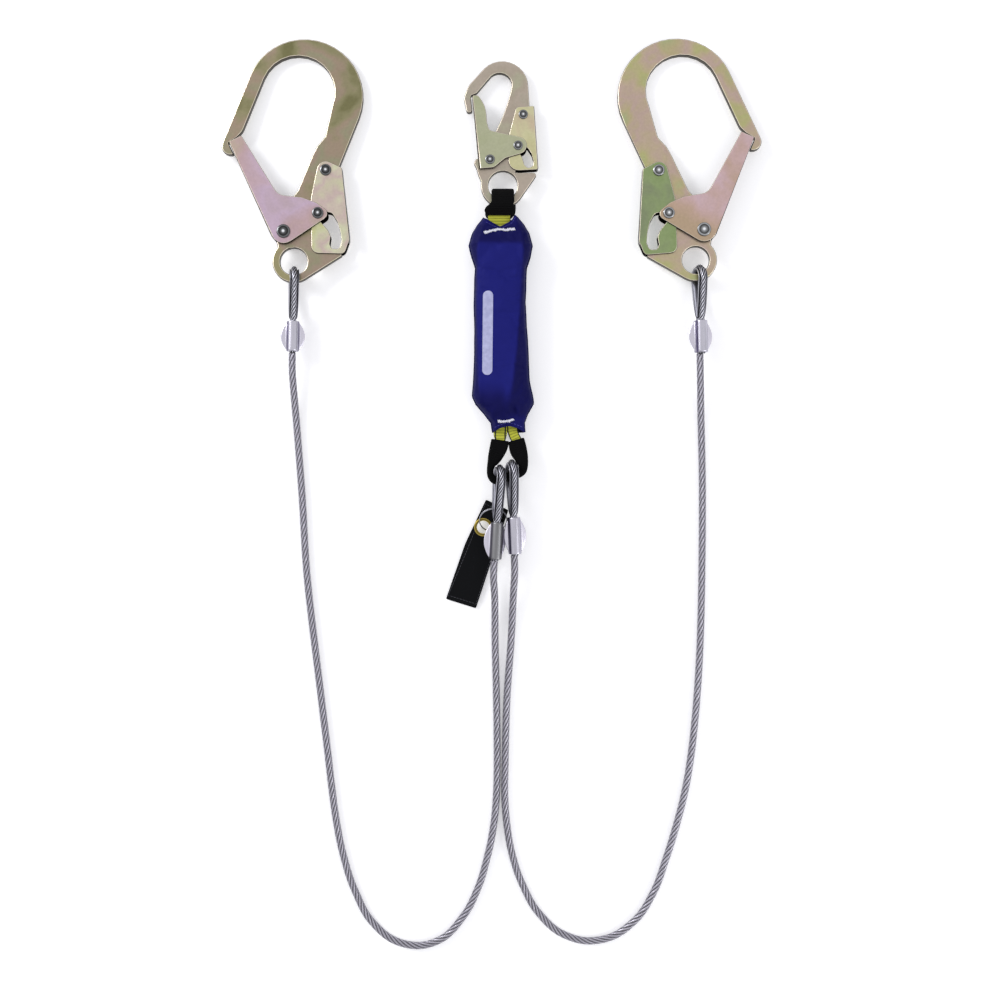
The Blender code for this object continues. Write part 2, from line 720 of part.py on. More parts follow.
def cable_route(plan, start, end):
    """The whole route: it leaves both ferrules high and comes down to the floor."""
    first, second = start
    last, before_last = end
    dense = smooth_route([first[:2], second[:2], *plan, before_last[:2], last[:2]])
    length = np.concatenate([[0.0], np.cumsum([(b - a).length for a, b in zip(dense, dense[1:])])])
    fall = 85.0

    def height(gone, top):
        share = min(gone / fall, 1.0)
        return (top - CABLE_REST) * (1 - share * share * (3 - 2 * share))

    route = [
        Vector((p.x, p.y, CABLE_REST + height(s, first[2]) + height(length[-1] - s, last[2])))
        for p, s in zip(dense, length)
    ]
    return thinned(route, CABLE_POINTS)


# Bands: webbing, sleeves and stitching.


def band_ring(spot, along, across, half_width, half_thick):
    """A section with flat sides and eight corners."""
    normal = along.cross(across).normalized()
    soft = min(half_thick, half_width) * 0.75
    shape = []
    for sx, sz, quarter in ((1, 1, 0), (-1, 1, 1), (-1, -1, 2), (1, -1, 3)):
        for part in (0.0, 1.0):
            angle = math.radians(90.0 * (quarter + part))
            x = sx * (half_width - soft) + soft * math.cos(angle)
            y = sz * (half_thick - soft) + soft * math.sin(angle)
            shape.append(spot + across * x + normal * y)
    return shape


def band(path, across, widths, thicks):
    """The rings of a band along a path."""
    rings = []
    for n, spot in enumerate(path):
        before = path[max(n - 1, 0)]
        after = path[min(n + 1, len(path) - 1)]
        along = (after - before).normalized()
        side = across(along)
        rings.append(band_ring(spot, along, side, widths[n], thicks[n]))
    return rings


def level_across(along):
    """Across a band that keeps its width level."""
    return Vector((0, 0, 1)).cross(along).normalized()


def upper_path(rim_z):
    """Centre line and sleeve half width of the loop that holds the snap hook's eye rim."""
    rim_y = SNAP_EYE[1] - SNAP_RIM
    rows = [(-1.0, 62.0, 17.9, 11.3), (-1.0, 88.0, 17.9, 11.3), (-1.0, 98.0, 18.2, 11.3)]
    rows += [(-0.8, 106.0, 19.6, 13.0), (-0.2, 110.0, 21.6, 15.2), (0.4, 113.0, 23.2, 14.4)]
    rows += [(1.4, 115.8, 24.1, 12.2)]
    for turn in np.radians(np.linspace(90.0, 0.0, 7)):
        rows.append((2.8, rim_y + 12.8 * math.cos(turn), rim_z + 12.8 * math.sin(turn), 11.3))
    for turn, wide in ((22.0, 11.0), (45.0, 11.0), (68.0, 12.0), (90.0, 13.4)):
        angle = math.radians(turn)
        rows.append((2.5, rim_y + 12.9 * math.cos(angle) ** 0.75, rim_z - 7.4 * math.sin(angle) ** 0.9, wide))
    rows += [(1.0, 113.0, 4.4, 14.6), (0.0, 109.8, 5.2, 15.0), (-0.8, 106.5, 7.2, 13.0)]
    rows += [(-1.0, 102.0, 9.9, 11.3), (-1.0, 96.0, 11.7, 11.3), (-1.0, 88.0, 12.1, 11.3)]
    rows += [(-1.0, 62.0, 12.1, 11.3)]
    return rows


LOWER_ROWS = (
    (1.2, -72.5, 15.2, 5.2), (1.2, -104.0, 15.2, 5.2), (0.9, -112.0, 15.3, 5.2),
    (0.0, -117.5, 15.6, 8.6), (-1.6, -124.0, 16.0, 8.4), (-4.2, -131.0, 16.5, 7.4),
    (-7.0, -137.2, 17.0, 5.6), (-9.1, -142.0, 17.2, 3.7), (-9.8, -148.0, 17.2, 3.3),
    (-9.0, -153.2, 17.2, 3.5), (-5.8, -156.8, 17.2, 4.0), (-1.4, -157.2, 17.2, 4.1),
    (2.0, -156.0, 17.2, 4.1), (5.8, -154.4, 17.2, 4.1), (10.2, -152.4, 17.2, 4.1),
    (14.0, -151.4, 17.2, 4.1), (18.6, -150.8, 17.2, 4.2), (22.2, -147.6, 17.2, 4.4),
    (23.0, -142.0, 17.2, 5.0), (22.0, -135.0, 17.0, 6.2), (20.1, -128.0, 16.4, 7.0),
    (18.0, -121.0, 15.9, 7.4), (16.6, -117.2, 15.6, 7.4), (13.8, -112.0, 15.3, 5.2),
    (12.4, -104.0, 15.2, 5.2), (12.4, -72.5, 15.2, 5.2),
)
SLEEVE_WALL = 0.9
SLIP = 0.4


def build_loop_band(prefix, rows, across, covered, sleeve_half, web_half, web_wide):
    """A webbing loop and the black wear sleeve over its middle stretch."""
    path = [Vector(row[:3]) for row in rows]
    first, last = covered
    wide = [row[3] for row in rows]
    room = [
        min(web_wide, w - SLEEVE_WALL - SLIP) if first <= n <= last else w for n, w in enumerate(wide)
    ]
    rings = band(path, across, room, [web_half] * len(rows))
    as_object(prefix + "_webbing", loft(rings), "webbing")
    span = slice(first, last + 1)
    outer = band(path, across, wide, [sleeve_half] * len(rows))[span]
    thin = [w - SLEEVE_WALL for w in wide]
    inner = band(path, across, thin, [sleeve_half - SLEEVE_WALL] * len(rows))[span]
    as_object(prefix + "_sleeve", hollow(outer, inner), "sleeve")


# Stations of the cover: place along y, left and right edge, bottom and top.
COVER = (
    (104.0, -15.6, 16.0, 5.0, 22.6),
    (96.0, -22.0, 23.0, 1.4, 25.8),
    (88.0, -26.3, 28.0, 0.0, 28.0),
    (76.0, -29.8, 31.2, 0.0, 29.5),
    (65.0, -27.2, 29.2, 0.0, 29.5),
    (54.0, -23.6, 25.4, 0.0, 29.6),
    (20.0, -24.6, 24.2, 0.0, 30.0),
    (-27.0, -24.0, 26.6, 0.0, 30.0),
    (-58.0, -25.5, 28.0, 0.0, 29.6),
    (-74.0, -26.6, 31.4, 0.0, 29.0),
    (-81.0, -23.6, 32.2, 0.0, 28.0),
    (-91.0, -14.6, 26.6, 0.6, 25.2),
    (-100.0, -7.8, 23.4, 3.4, 22.6),
    (-109.5, -6.6, 23.8, 5.0, 21.4),
)
COVER_WALL = 1.2


def cover_section(station, inset, notch):
    """A rounded box section. The notch draws the top edge back in the middle."""
    y, left, right, low, high = station
    half_x, half_z = (right - left) / 2 - inset, (high - low) / 2 - inset
    centre_x, centre_z = (right + left) / 2, (high + low) / 2
    soft = (min(half_x, half_z) + inset) * 0.72 - inset
    ring = []
    for sx, sz, start in ((1, 1, 0.0), (-1, 1, 90.0), (-1, -1, 180.0), (1, -1, 270.0)):
        corner = (centre_x + sx * (half_x - soft), centre_z + sz * (half_z - soft))
        for x, z in arc(corner, soft, start, start + 90.0, 30.0):
            lift = max(0.0, (z - centre_z) / half_z)
            ring.append((x, y + notch * lift * (1 - 0.8 * abs(x - centre_x) / half_x), z))
    return ring


def cover_top(y):
    """Height of the cover's upper face at a place along it."""
    places = [row[0] for row in reversed(COVER)]
    return float(np.interp(y, places, [row[4] for row in reversed(COVER)]))


def build_cover():
    """The blue cover, the folded tear webbing in it and its two rows of stitching."""
    notches = [-9.0] + [0.0] * (len(COVER) - 2) + [5.0]
    outer = [cover_section(row, 0.0, notch) for row, notch in zip(COVER, notches)]
    inner = [cover_section(row, COVER_WALL, notch) for row, notch in zip(COVER, notches)]
    as_object("cover", hollow(outer, inner), "cover")

    layers, pitch, half = 8, 3.0, 1.15
    low_y, high_y = -68.0, 58.0
    centre = []
    for n in range(layers):
        height = 4.4 + pitch * n
        side = 1 if n % 2 == 0 else -1
        ends = (low_y, high_y) if side == 1 else (high_y, low_y)
        centre += [(ends[0], height), (ends[1], height)]
        for turn in np.radians((-45.0, 0.0, 45.0)) if n < layers - 1 else ():
            across = ends[1] + side * pitch / 2 * math.cos(turn)
            centre.append((across, height + pitch / 2 * (1 + math.sin(turn))))
    stack = flat_mesh([strip(centre, half)], -17.0, 17.0)
    stack.transform(Matrix(((0, 0, 1, 0), (1, 0, 0, 0), (0, 1, 0, 0), (0, 0, 0, 1))))
    as_object("tear_webbing", stack, "webbing")
    print(f"tear webbing: gap between layers {pitch - 2 * half:.2f} mm")

    rows = {
        "upper_bartack": ((-15.5, 86.4), (-6.4, 89.0), (-1.9, 90.2), (5.0, 89.3), (14.6, 90.4)),
        "lower_bartack": ((-2.0, -99.0), (3.5, -99.4), (9.0, -98.8), (13.6, -97.2)),
    }
    for name, spots in rows.items():
        path = [Vector((x, y, cover_top(y) + 1.25)) for x, y in spots]
        rings = band(path, level_across, [1.9] * len(path), [0.8] * len(path))
        as_object(name, loft(rings), "thread")


TAG_EYE = (-16.8, -204.2)
TAG_TURN = -21.9
TAG_PITCH = 2.7
TAG_EYE_HEIGHT = 5.4
RING_CENTRE = (-6.8, -197.1, 9.4)
RING_TURN = 5.4
RING_LEAN = 33.9
TAG_CORNERS = (
    (-14.0, -176.5, 1.0),
    (-35.1, -220.9, 90.0),
    (-54.4, -276.6, 1.2),
    (-24.2, -286.0, 1.2),
    (8.5, -187.0, 1.2),
)


def build_tag(parent_leg, parent_tag):
    """The black label, its brass grommet and the split ring that hangs it on the leg."""
    turn = Matrix.Rotation(math.radians(-TAG_TURN), 2)
    shaped = []
    for x, y, radius in TAG_CORNERS:
        spot = turn @ Vector((x - TAG_EYE[0], y - TAG_EYE[1]))
        shaped.append((spot.x, spot.y, radius))
    mesh = flat_mesh([outline(*shaped, step=4.0), disc((0.0, 0.0), 7.3, 20)], -0.6, 0.6)
    as_object("tag", mesh, "sleeve", parent_tag)
    lip = [(6.4, 0.95), (6.7, 1.25), (9.0, 1.25), (9.3, 1.05), (9.3, 0.85), (7.0, 0.85)]
    lip += [(r, -z) for r, z in reversed(lip)]
    turned("grommet", lip, "brass", parent_tag, (0.0, 0.0, 0.0), 20, cyclic=True)

    radius, thick, pitch, jog = 13.9, 0.5, 0.72, -60.0
    coil = []
    for angle in np.linspace(28.0, 692.0, 41):
        share = min(max((angle - 335.0) / 50.0, 0.0), 1.0)
        height = -pitch + 2 * pitch * share * share * (3 - 2 * share)
        turned_by = math.radians(angle + jog)
        coil.append((radius * math.cos(turned_by), radius * math.sin(turned_by), height))
    as_object("split_ring", wire(coil, thick, 1), "spring", parent_leg)
    print(f"split ring: least gap between coils {2 * pitch - 2 * thick:.2f} mm")


def turned_place(spot, turn, lean):
    """A place turned about the vertical and then leaned about its own x axis."""
    matrix = Matrix.Translation(Vector(spot) * MM) @ Matrix.Rotation(math.radians(turn), 4, "Z")
    return matrix @ Matrix.Rotation(math.radians(lean), 4, "X")


def nest(name, world, parent=None):
    """A placing frame given where it stands in the whole object."""
    return empty(name, placed[parent.name].inverted() @ world if parent else world, parent)


def cable_end(loop):
    """Where the live strand leaves its ferrule, and a spot 14 mm further on."""
    far = loop_sizes(LOOPS[loop])[1]
    place = loop_place(LOOPS[loop])
    spots = [place @ (Vector((0.0, -far - gone, -STRAND_OFFSET)) * MM) / MM for gone in (1.3, 15.0)]
    return [(s.x, s.y, s.z) for s in spots]


# Route points of the two coated cables on the floor plan, hook end first on the left leg.
LEFT_ROUTE = (
    (-205.7, -80.6), (-198.8, -173.0), (-193.7, -254.3), (-179.7, -374.9), (-171.8, -440.2), (-164.4, -499.4),
    (-150.2, -557.7), (-126.6, -602.9), (-96.6, -622.8), (-69.9, -622.8), (-46.6, -607.3), (-25.1, -573.8),
    (-10.0, -523.6), (-4.0, -479.4), (-2.9, -433.1), (-3.6, -374.9), (-5.0, -317.6), (-5.3, -275.0),
)
RIGHT_ROUTE = (
    (13.4, -270.0), (11.1, -318.6), (7.0, -374.9), (5.3, -433.1), (5.0, -479.4), (10.1, -523.6),
    (20.9, -559.4), (39.7, -592.8), (65.1, -613.8), (92.5, -619.8), (120.0, -611.5), (145.0, -587.7),
    (163.8, -545.8), (184.7, -474.0), (194.0, -415.1), (200.4, -333.7), (202.9, -237.3), (203.1, -146.9),
    (201.2, -80.6),
)

# Everything in its place.

snap_place = lying_down(SNAP_EYE, SNAP_EYE_HEIGHT, 0.0, SNAP_GATE_TIP, SMALL_Z["gate"][1] + 0.1)
rim = snap_place @ (Vector((0.0, -SNAP_RIM, 0.0)) * MM)
large = {"height": LARGE_EYE_HEIGHT, "length": LARGE_LENGTH, "half_plate": LARGE_Z["plate"]}
left_place = lying_down(LEFT_EYE, turn=LEFT_TURN, **large)
right_place = lying_down(RIGHT_EYE, turn=RIGHT_TURN, **large, flipped=True)

# The absorber pack and its two webbing loops.
build_cover()
build_loop_band("upper", upper_path(rim.z / MM), lambda along: Vector((1, 0, 0)), (3, 20), 2.5, 1.2, 13.0)
build_loop_band("lower", LOWER_ROWS, level_across, (3, 22), 3.1, 1.8, 5.2)

# The snap hook swings about the rim of its eye.
snap_hinge = nest("snap_hinge", Matrix.Translation(rim))
build_hook("snap", SMALL, nest("snap_hook", snap_place, snap_hinge))

# The two legs swing about the crowns of their thimbles.
for side, route, place in (("left", LEFT_ROUTE, left_place), ("right", RIGHT_ROUTE, right_place)):
    spec = LOOPS[side + "_pack"]
    pivot = Vector((spec["eye"][0], spec["eye"][1] + 7.0, spec["z"])) * MM
    leg = nest(side + "_leg", Matrix.Translation(pivot))
    build_loop(side + "_pack", spec, nest(side + "_pack_loop", loop_place(spec), leg))
    hook_loop = side + "_hook"
    build_loop(hook_loop, LOOPS[hook_loop], nest(side + "_hook_loop", loop_place(LOOPS[hook_loop]), leg))
    ends = [cable_end(hook_loop), cable_end(side + "_pack")]
    if side == "right":
        ends.reverse()
    points = cable_route(route, *ends)
    points = [tuple(Vector(p) - pivot / MM) for p in points]
    as_object(side + "_cable", wire(points, COATED_RADIUS), "coated", leg)
    length = sum((Vector(b) - Vector(a)).length for a, b in zip(points, points[1:]))
    print(f"{side} cable: {len(points)} points, {length:.1f} mm long")
    build_hook(side, LARGE, nest(side + "_scaffold_hook", place, leg))
    if side == "left":
        ring = turned_place(RING_CENTRE, RING_TURN, RING_LEAN)
        tag = turned_place((*TAG_EYE, TAG_EYE_HEIGHT), TAG_TURN, TAG_PITCH)
        build_tag(nest("ring_place", ring, leg), nest("tag_place", tag, leg))

# The places of mounts and joint axes, in metres.
hooks = {"left": (left_place, LARGE), "right": (right_place, LARGE), "snap": (snap_place, SMALL)}
for label, (place, hook) in hooks.items():
    x, y, radius, step = hook["seat"]
    values = {
        "seat": place @ (Vector((x, y + radius * math.cos(math.radians(step / 2)), 0.0)) * MM),
        "facing": place.to_3x3() @ Vector((0.0, -1.0, 0.0)),
        "normal": place.to_3x3() @ Vector((0.0, 0.0, 1.0)),
        "gate": place @ (Vector((*hook["G"], 0.0)) * MM),
        "lock": place @ (Vector((*hook["K"], 0.0)) * MM),
        "eye": place.translation,
    }
    for word, value in values.items():
        print(label, word, [round(v, 5) for v in value])
for name in ("snap_hinge", "left_leg", "right_leg", "tag_place", "ring_place"):
    print(name, [round(v, 5) for v in placed[name].translation])
print("tag normal", [round(v, 5) for v in placed["tag_place"].to_3x3() @ Vector((0.0, 0.0, 1.0))])
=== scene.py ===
# %% [markdown]
# # A twin steel cable shock absorber, dressed for its portrait
# The object is fall protection gear: a cloth covered pack of tear webbing, a snap hook for the
# harness, and two coated steel cables that each end in a large scaffold hook. The solids come
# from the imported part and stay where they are. This lesson gives every piece its photographed
# surface: plate with rounded edges, rope with real strands, woven webbing and a sewn cover.

# %% Load the fixed frame
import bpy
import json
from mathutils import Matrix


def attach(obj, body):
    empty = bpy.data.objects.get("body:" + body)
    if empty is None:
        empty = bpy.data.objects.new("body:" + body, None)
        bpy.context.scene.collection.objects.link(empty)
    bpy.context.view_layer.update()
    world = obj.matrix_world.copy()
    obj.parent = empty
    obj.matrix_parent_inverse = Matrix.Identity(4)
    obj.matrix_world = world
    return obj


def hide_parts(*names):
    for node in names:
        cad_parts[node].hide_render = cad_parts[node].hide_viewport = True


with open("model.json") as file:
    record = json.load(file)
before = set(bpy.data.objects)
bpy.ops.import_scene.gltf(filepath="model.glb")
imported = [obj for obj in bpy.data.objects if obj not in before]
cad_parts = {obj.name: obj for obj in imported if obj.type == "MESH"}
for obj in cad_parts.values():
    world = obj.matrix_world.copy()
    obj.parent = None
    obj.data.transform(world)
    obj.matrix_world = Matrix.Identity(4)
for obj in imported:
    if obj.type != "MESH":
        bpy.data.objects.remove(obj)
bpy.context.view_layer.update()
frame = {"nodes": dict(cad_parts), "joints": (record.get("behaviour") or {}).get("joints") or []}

# %% Helpers from Blender and Python
import json
import math

import bmesh
import bpy
import numpy as np
from mathutils import Matrix, Vector, noise
from mathutils.bvhtree import BVHTree

MM = 0.001

# %% [markdown]
# ## The view
# The photograph looks straight down on the object, which lies flat. One of its pixels is one
# millimetre at a height of 10 mm, so a camera 1.35 m above that height, with a field one metre
# wide there, gives the same frame. Its middle is the photograph's middle.

# %% Place the camera
VIEW_CENTRE = (0.0, -0.177)
VIEW_PLANE = 0.010
VIEW_DISTANCE = 1.35
VIEW_WIDTH = 1.0


def place_camera():
    """A camera that looks straight down, with the photograph's up along +Y."""
    lens = bpy.data.cameras.new("studio_camera")
    lens.sensor_width = 36.0
    lens.lens = lens.sensor_width * VIEW_DISTANCE / VIEW_WIDTH
    lens.clip_start = 0.01
    camera = bpy.data.objects.new("studio_camera", lens)
    camera.location = (*VIEW_CENTRE, VIEW_PLANE + VIEW_DISTANCE)
    bpy.context.scene.collection.objects.link(camera)
    bpy.context.scene.camera = camera
    bpy.context.scene.view_settings.view_transform = "Standard"
    return camera


camera = place_camera()
print("camera", [round(c, 3) for c in camera.location], "lens", round(camera.data.lens, 2))

# %% [markdown]
# ## Node trees
# Shader trees and Geometry Nodes trees are wired the same way: make a node, set its values,
# link its inputs. One small function does all three, so that each tree below reads like a list
# of steps. Colours are written as the photograph's 0 to 255 values and turned linear here.

# %% Wire a node tree


def put(tree, kind, settings=None, **inputs):
    """A new node; an input is named with underscores, or i0, i1 for its number."""
    made = tree.nodes.new(kind)
    for key, value in (settings or {}).items():
        setattr(made, key, value)
    for key, value in inputs.items():
        place = int(key[1:]) if key[0] == "i" and key[1:].isdigit() else key.replace("_", " ")
        if isinstance(value, bpy.types.NodeSocket):
            tree.links.new(value, made.inputs[place])
        else:
            made.inputs[place].default_value = value
    return made


def numbered(values):
    """Inputs named by their numbers, as put takes them."""
    return {f"i{n}": value for n, value in enumerate(values)}


def calc(tree, operation, *values):
    """The result of one Math node."""
    return put(tree, "ShaderNodeMath", {"operation": operation}, **numbered(values)).outputs[0]


def plus(tree, first, second):
    """The sum of two values."""
    return calc(tree, "ADD", first, second)


def minus(tree, first, second):
    """The difference of two values."""
    return calc(tree, "SUBTRACT", first, second)


def times(tree, first, second):
    """The product of two values."""
    return calc(tree, "MULTIPLY", first, second)


def ridges(tree, value):
    """The sine without its sign, which is a ridge in every half turn."""
    return calc(tree, "ABSOLUTE", calc(tree, "SINE", value))


def vector_calc(tree, operation, *values, **named):
    """The result of one Vector Math node."""
    made = put(tree, "ShaderNodeVectorMath", {"operation": operation}, **numbered(values), **named)
    return made.outputs["Vector"]


def vector(tree, **parts):
    """A vector from its X, Y and Z, with 0 for those not given."""
    return put(tree, "ShaderNodeCombineXYZ", **parts).outputs[0]


def stored(tree, label):
    """The number that each point of the mesh keeps under a label."""
    return put(tree, "ShaderNodeAttribute", {"attribute_name": label}).outputs["Fac"]


def blend(tree, share, under, over, kind="MIX"):
    """Two colours mixed by a share."""
    settings = {"data_type": "RGBA", "blend_type": kind}
    return put(tree, "ShaderNodeMix", settings, i0=share, i6=under, i7=over).outputs[2]


def shade(red, green, blue):
    """A colour written in the photograph's values, as linear light."""
    parts = [c / 255 for c in (red, green, blue)]
    linear = [c / 12.92 if c <= 0.04045 else ((c + 0.055) / 1.055) ** 2.4 for c in parts]
    return (*linear, 1.0)


def dimmed(colour, share):
    """A colour with only a share of its light."""
    return (*(part * share for part in colour[:3]), 1.0)


def new_finish(name, colour, metal=0.0, rough=0.5, **sockets):
    """A material and its Principled shader, with the constant values set on it."""
    material = bpy.data.materials.new(name)
    material.use_nodes = True
    shader = material.node_tree.nodes["Principled BSDF"]
    shader.inputs["Base Color"].default_value = colour
    shader.inputs["Metallic"].default_value = metal
    shader.inputs["Roughness"].default_value = rough
    for key, value in sockets.items():
        shader.inputs[key.replace("_", " ")].default_value = value
    return material, material.node_tree, shader


def ramp(tree, fraction, *stops):
    """A Color Ramp through the given places and colours."""
    made = put(tree, "ShaderNodeValToRGB", Fac=fraction)
    marks = made.color_ramp.elements
    while len(marks) < len(stops):
        marks.new(0.5)
    for mark, (place, colour) in zip(marks, stops):
        mark.position = place
        mark.color = colour
    return made.outputs["Color"]


def cloud(tree, where, scale, detail=3.0, distortion=0.0):
    """A soft noise value."""
    made = put(tree, "ShaderNodeTexNoise", Vector=where, Scale=scale, Detail=detail, Distortion=distortion)
    return made.outputs["Fac"]


def bump(tree, shader, height, depth, strength=1.0):
    """Small relief, with its depth in metres."""
    made = put(tree, "ShaderNodeBump", Strength=strength, Distance=depth, Height=height)
    tree.links.new(made.outputs["Normal"], shader.inputs["Normal"])


def place_in(tree, turn=0.0, stretch=(1.0, 1.0, 1.0)):
    """Object coordinates, turned about Z and stretched."""
    where = put(tree, "ShaderNodeTexCoord").outputs["Object"]
    made = put(tree, "ShaderNodeMapping", Vector=where, Rotation=(0.0, 0.0, turn), Scale=stretch)
    return made.outputs["Vector"]


def vary_gloss(tree, shader, value, low, high):
    """Roughness between two values, picked by a noise."""
    gloss = put(tree, "ShaderNodeMapRange", Value=value, To_Min=low, To_Max=high)
    tree.links.new(gloss.outputs[0], shader.inputs["Roughness"])


WHITE = (1.0, 1.0, 1.0, 1.0)
BLACK = (0.0, 0.0, 0.0, 1.0)
print("a grey of 128 as linear light:", round(shade(128, 128, 128)[0], 3))

# %% [markdown]
# ## Floor and light
# A pale floor catches the shadow. Where the camera or polished metal sees it, it glows a little,
# which makes it the photograph's white without putting more light on the object. The world does
# the same. So metal mirrors plain white, and its dark rims and grooves are painted shade in the finishes.

# %% Make the floor and the light
FLOOR_SIZE = 8.0
FLOOR_DROP = 0.0002
FLOOR_GLOW = 0.34
HORIZON_GREY = shade(36, 36, 42)
OVERHEAD_GREY = shade(236, 236, 240)
SKY_STRENGTH = 0.78


def seen_by_sight(tree):
    """1 for rays that look: straight from the camera, mirrored or through a clear coat."""
    path = put(tree, "ShaderNodeLightPath").outputs
    looks = calc(tree, "MAXIMUM", path["Is Camera Ray"], path["Is Glossy Ray"])
    return calc(tree, "MAXIMUM", looks, path["Is Transmission Ray"])


def make_floor():
    """A pale floor that glows a little to every ray that looks at it."""
    spot = (0.0, VIEW_CENTRE[1], -FLOOR_DROP)
    bpy.ops.mesh.primitive_grid_add(x_subdivisions=2, y_subdivisions=2, size=FLOOR_SIZE, location=spot)
    floor = bpy.context.object
    floor.name = "studio_floor"
    material, tree, shader = new_finish("pale_floor", shade(246, 246, 248), rough=0.9)
    strength = times(tree, seen_by_sight(tree), FLOOR_GLOW)
    glow = put(tree, "ShaderNodeEmission", Color=WHITE, Strength=strength)
    pale = put(tree, "ShaderNodeAddShader", i0=shader.outputs[0], i1=glow.outputs[0])
    tree.links.new(pale.outputs[0], tree.nodes["Material Output"].inputs["Surface"])
    floor.data.materials.append(material)


def make_world():
    """Soft light from overhead, with plain white to every ray that looks at it."""
    world = bpy.data.worlds.new("studio_sky")
    world.use_nodes = True
    bpy.context.scene.world = world
    tree = world.node_tree
    tree.nodes.clear()
    where = put(tree, "ShaderNodeTexCoord").outputs["Generated"]
    up = put(tree, "ShaderNodeSeparateXYZ", Vector=where).outputs["Z"]
    sky = ramp(tree, up, (0.30, HORIZON_GREY), (0.62, OVERHEAD_GREY))
    light = put(tree, "ShaderNodeBackground", Color=sky, Strength=SKY_STRENGTH)
    plain = put(tree, "ShaderNodeBackground", Color=WHITE, Strength=1.0)
    mixed = put(tree, "ShaderNodeMixShader", Fac=seen_by_sight(tree),
                i1=light.outputs[0], i2=plain.outputs[0])
    out = put(tree, "ShaderNodeOutputWorld")
    tree.links.new(mixed.outputs[0], out.inputs["Surface"])


def soft_lamp(name, spot, size, watts):
    """A square lamp that faces the middle of the view."""
    lamp = bpy.data.lights.new(name, "AREA")
    lamp.size = size
    lamp.energy = watts
    item = bpy.data.objects.new(name, lamp)
    item.location = spot
    away = Vector(spot) - Vector((*VIEW_CENTRE, 0.0))
    item.rotation_euler = away.to_track_quat("Z", "Y").to_euler()
    bpy.context.scene.collection.objects.link(item)


make_floor()
make_world()
soft_lamp("key_lamp", spot=(-2.3, 1.3, 1.5), size=1.2, watts=58.0)
soft_lamp("fill_lamp", spot=(2.2, -1.2, 1.5), size=1.4, watts=30.0)
print("floor, world and two lamps made")

# %% [markdown]
# ## Pieces that start from the solids
# Plate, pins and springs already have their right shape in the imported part. What they lack is
# the small rounding that catches light. A copy is welded, its flat faces are joined, and a Bevel
# modifier rounds the edges, with a finish of its own on the rounded strip. A round wire takes
# subdivision instead. The copy then stands for the solid.

# %% Copy a solid and round it
WELD = 1e-6
FLAT_ANGLE = math.radians(0.6)


def new_piece(name, mesh, *finishes):
    """An object at the origin that holds the mesh and its finishes."""
    item = bpy.data.objects.new(name, mesh)
    bpy.context.scene.collection.objects.link(item)
    for finish in finishes:
        mesh.materials.append(finish)
    return item


def welded_copy(node, flatten=True):
    """A copy of a node's mesh with shared corners and whole flat faces."""
    work = bmesh.new()
    work.from_mesh(frame["nodes"][node].data)
    bmesh.ops.remove_doubles(work, verts=work.verts, dist=WELD)
    if flatten:
        bmesh.ops.dissolve_limit(work, angle_limit=FLAT_ANGLE, verts=work.verts, edges=work.edges)
    mesh = bpy.data.meshes.new(node)
    work.to_mesh(mesh)
    work.free()
    return mesh


def baked(item):
    """The object with its modifiers turned into plain mesh."""
    shape = bpy.data.meshes.new_from_object(item.evaluated_get(bpy.context.evaluated_depsgraph_get()))
    old = item.data
    item.modifiers.clear()
    if item.type == "MESH":
        item.data = shape
        bpy.data.meshes.remove(old)
        return item
    name = item.name
    bpy.data.objects.remove(item)
    made = bpy.data.objects.new(name, shape)
    bpy.context.scene.collection.objects.link(made)
    return made


def settle(item, body, slot, *nodes):
    """The piece rides on a body and stands for its nodes; its slot is not used."""
    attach(item, body)
    if nodes:
        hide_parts(*nodes)
    return item


def edged(node, name, width, face, edge, sharp=34.0, clamp=True):
    """A plate or turned piece with rounded edges of their own finish."""
    item = new_piece(name, welded_copy(node), face, edge)
    item.data.shade_smooth()
    item.data.set_sharp_from_angle(angle=math.radians(sharp))
    rounding = item.modifiers.new("rounded edges", "BEVEL")
    rounding.width = width
    rounding.segments = 3
    rounding.use_clamp_overlap = clamp
    rounding.limit_method = "ANGLE"
    rounding.angle_limit = math.radians(sharp)
    rounding.material = 1
    even = item.modifiers.new("even flats", "WEIGHTED_NORMAL")
    even.keep_sharp = True
    return baked(item)


def softened(item, levels=1):
    """The object with its faces subdivided into smooth curves."""
    soft = item.modifiers.new("soft", "SUBSURF")
    soft.levels = soft.render_levels = levels
    return baked(item)


def round_wire(node, name, finish, levels=1):
    """A faceted wire made round."""
    item = softened(new_piece(name, welded_copy(node, flatten=False), finish), levels)
    item.data.shade_smooth()
    return item


# %% [markdown]
# ## Yellow zinc plate
# The hooks are zinc plated and passivated, which leaves a film of olive, gold and pink. Soft
# noise in object coordinates picks the film's colour, a finer noise varies its gloss, and a
# very fine one gives the rolled surface. Each leaf gets its own range of colours, as pieces from
# different baths do; the left frame's range is also darker, which is painted shade on that hook.
# Rounded edges start with a painted highlight and turn dark with painted shade towards the cut
# walls and the inside faces, which every point's stored depth finds.

# %% Mix the plated finishes
# Painted shade for the plates' cut walls and, darker still, their inside faces.
WALL_PAINTED_SHADE = shade(62, 57, 48)
INSIDE_PAINTED_SHADE = shade(26, 24, 22)
FILM_SPREAD = (0.31, 0.69)


def paint_wall_shade(tree, flat):
    """The flat's colour, with painted shade that darkens it where the stored depth leaves the flat face."""
    depth = stored(tree, "depth")
    share = ramp(tree, depth, (0.01, BLACK), (0.10, WHITE))
    below = ramp(tree, depth, (0.56, WALL_PAINTED_SHADE), (0.8, INSIDE_PAINTED_SHADE))
    return blend(tree, share, flat, below)


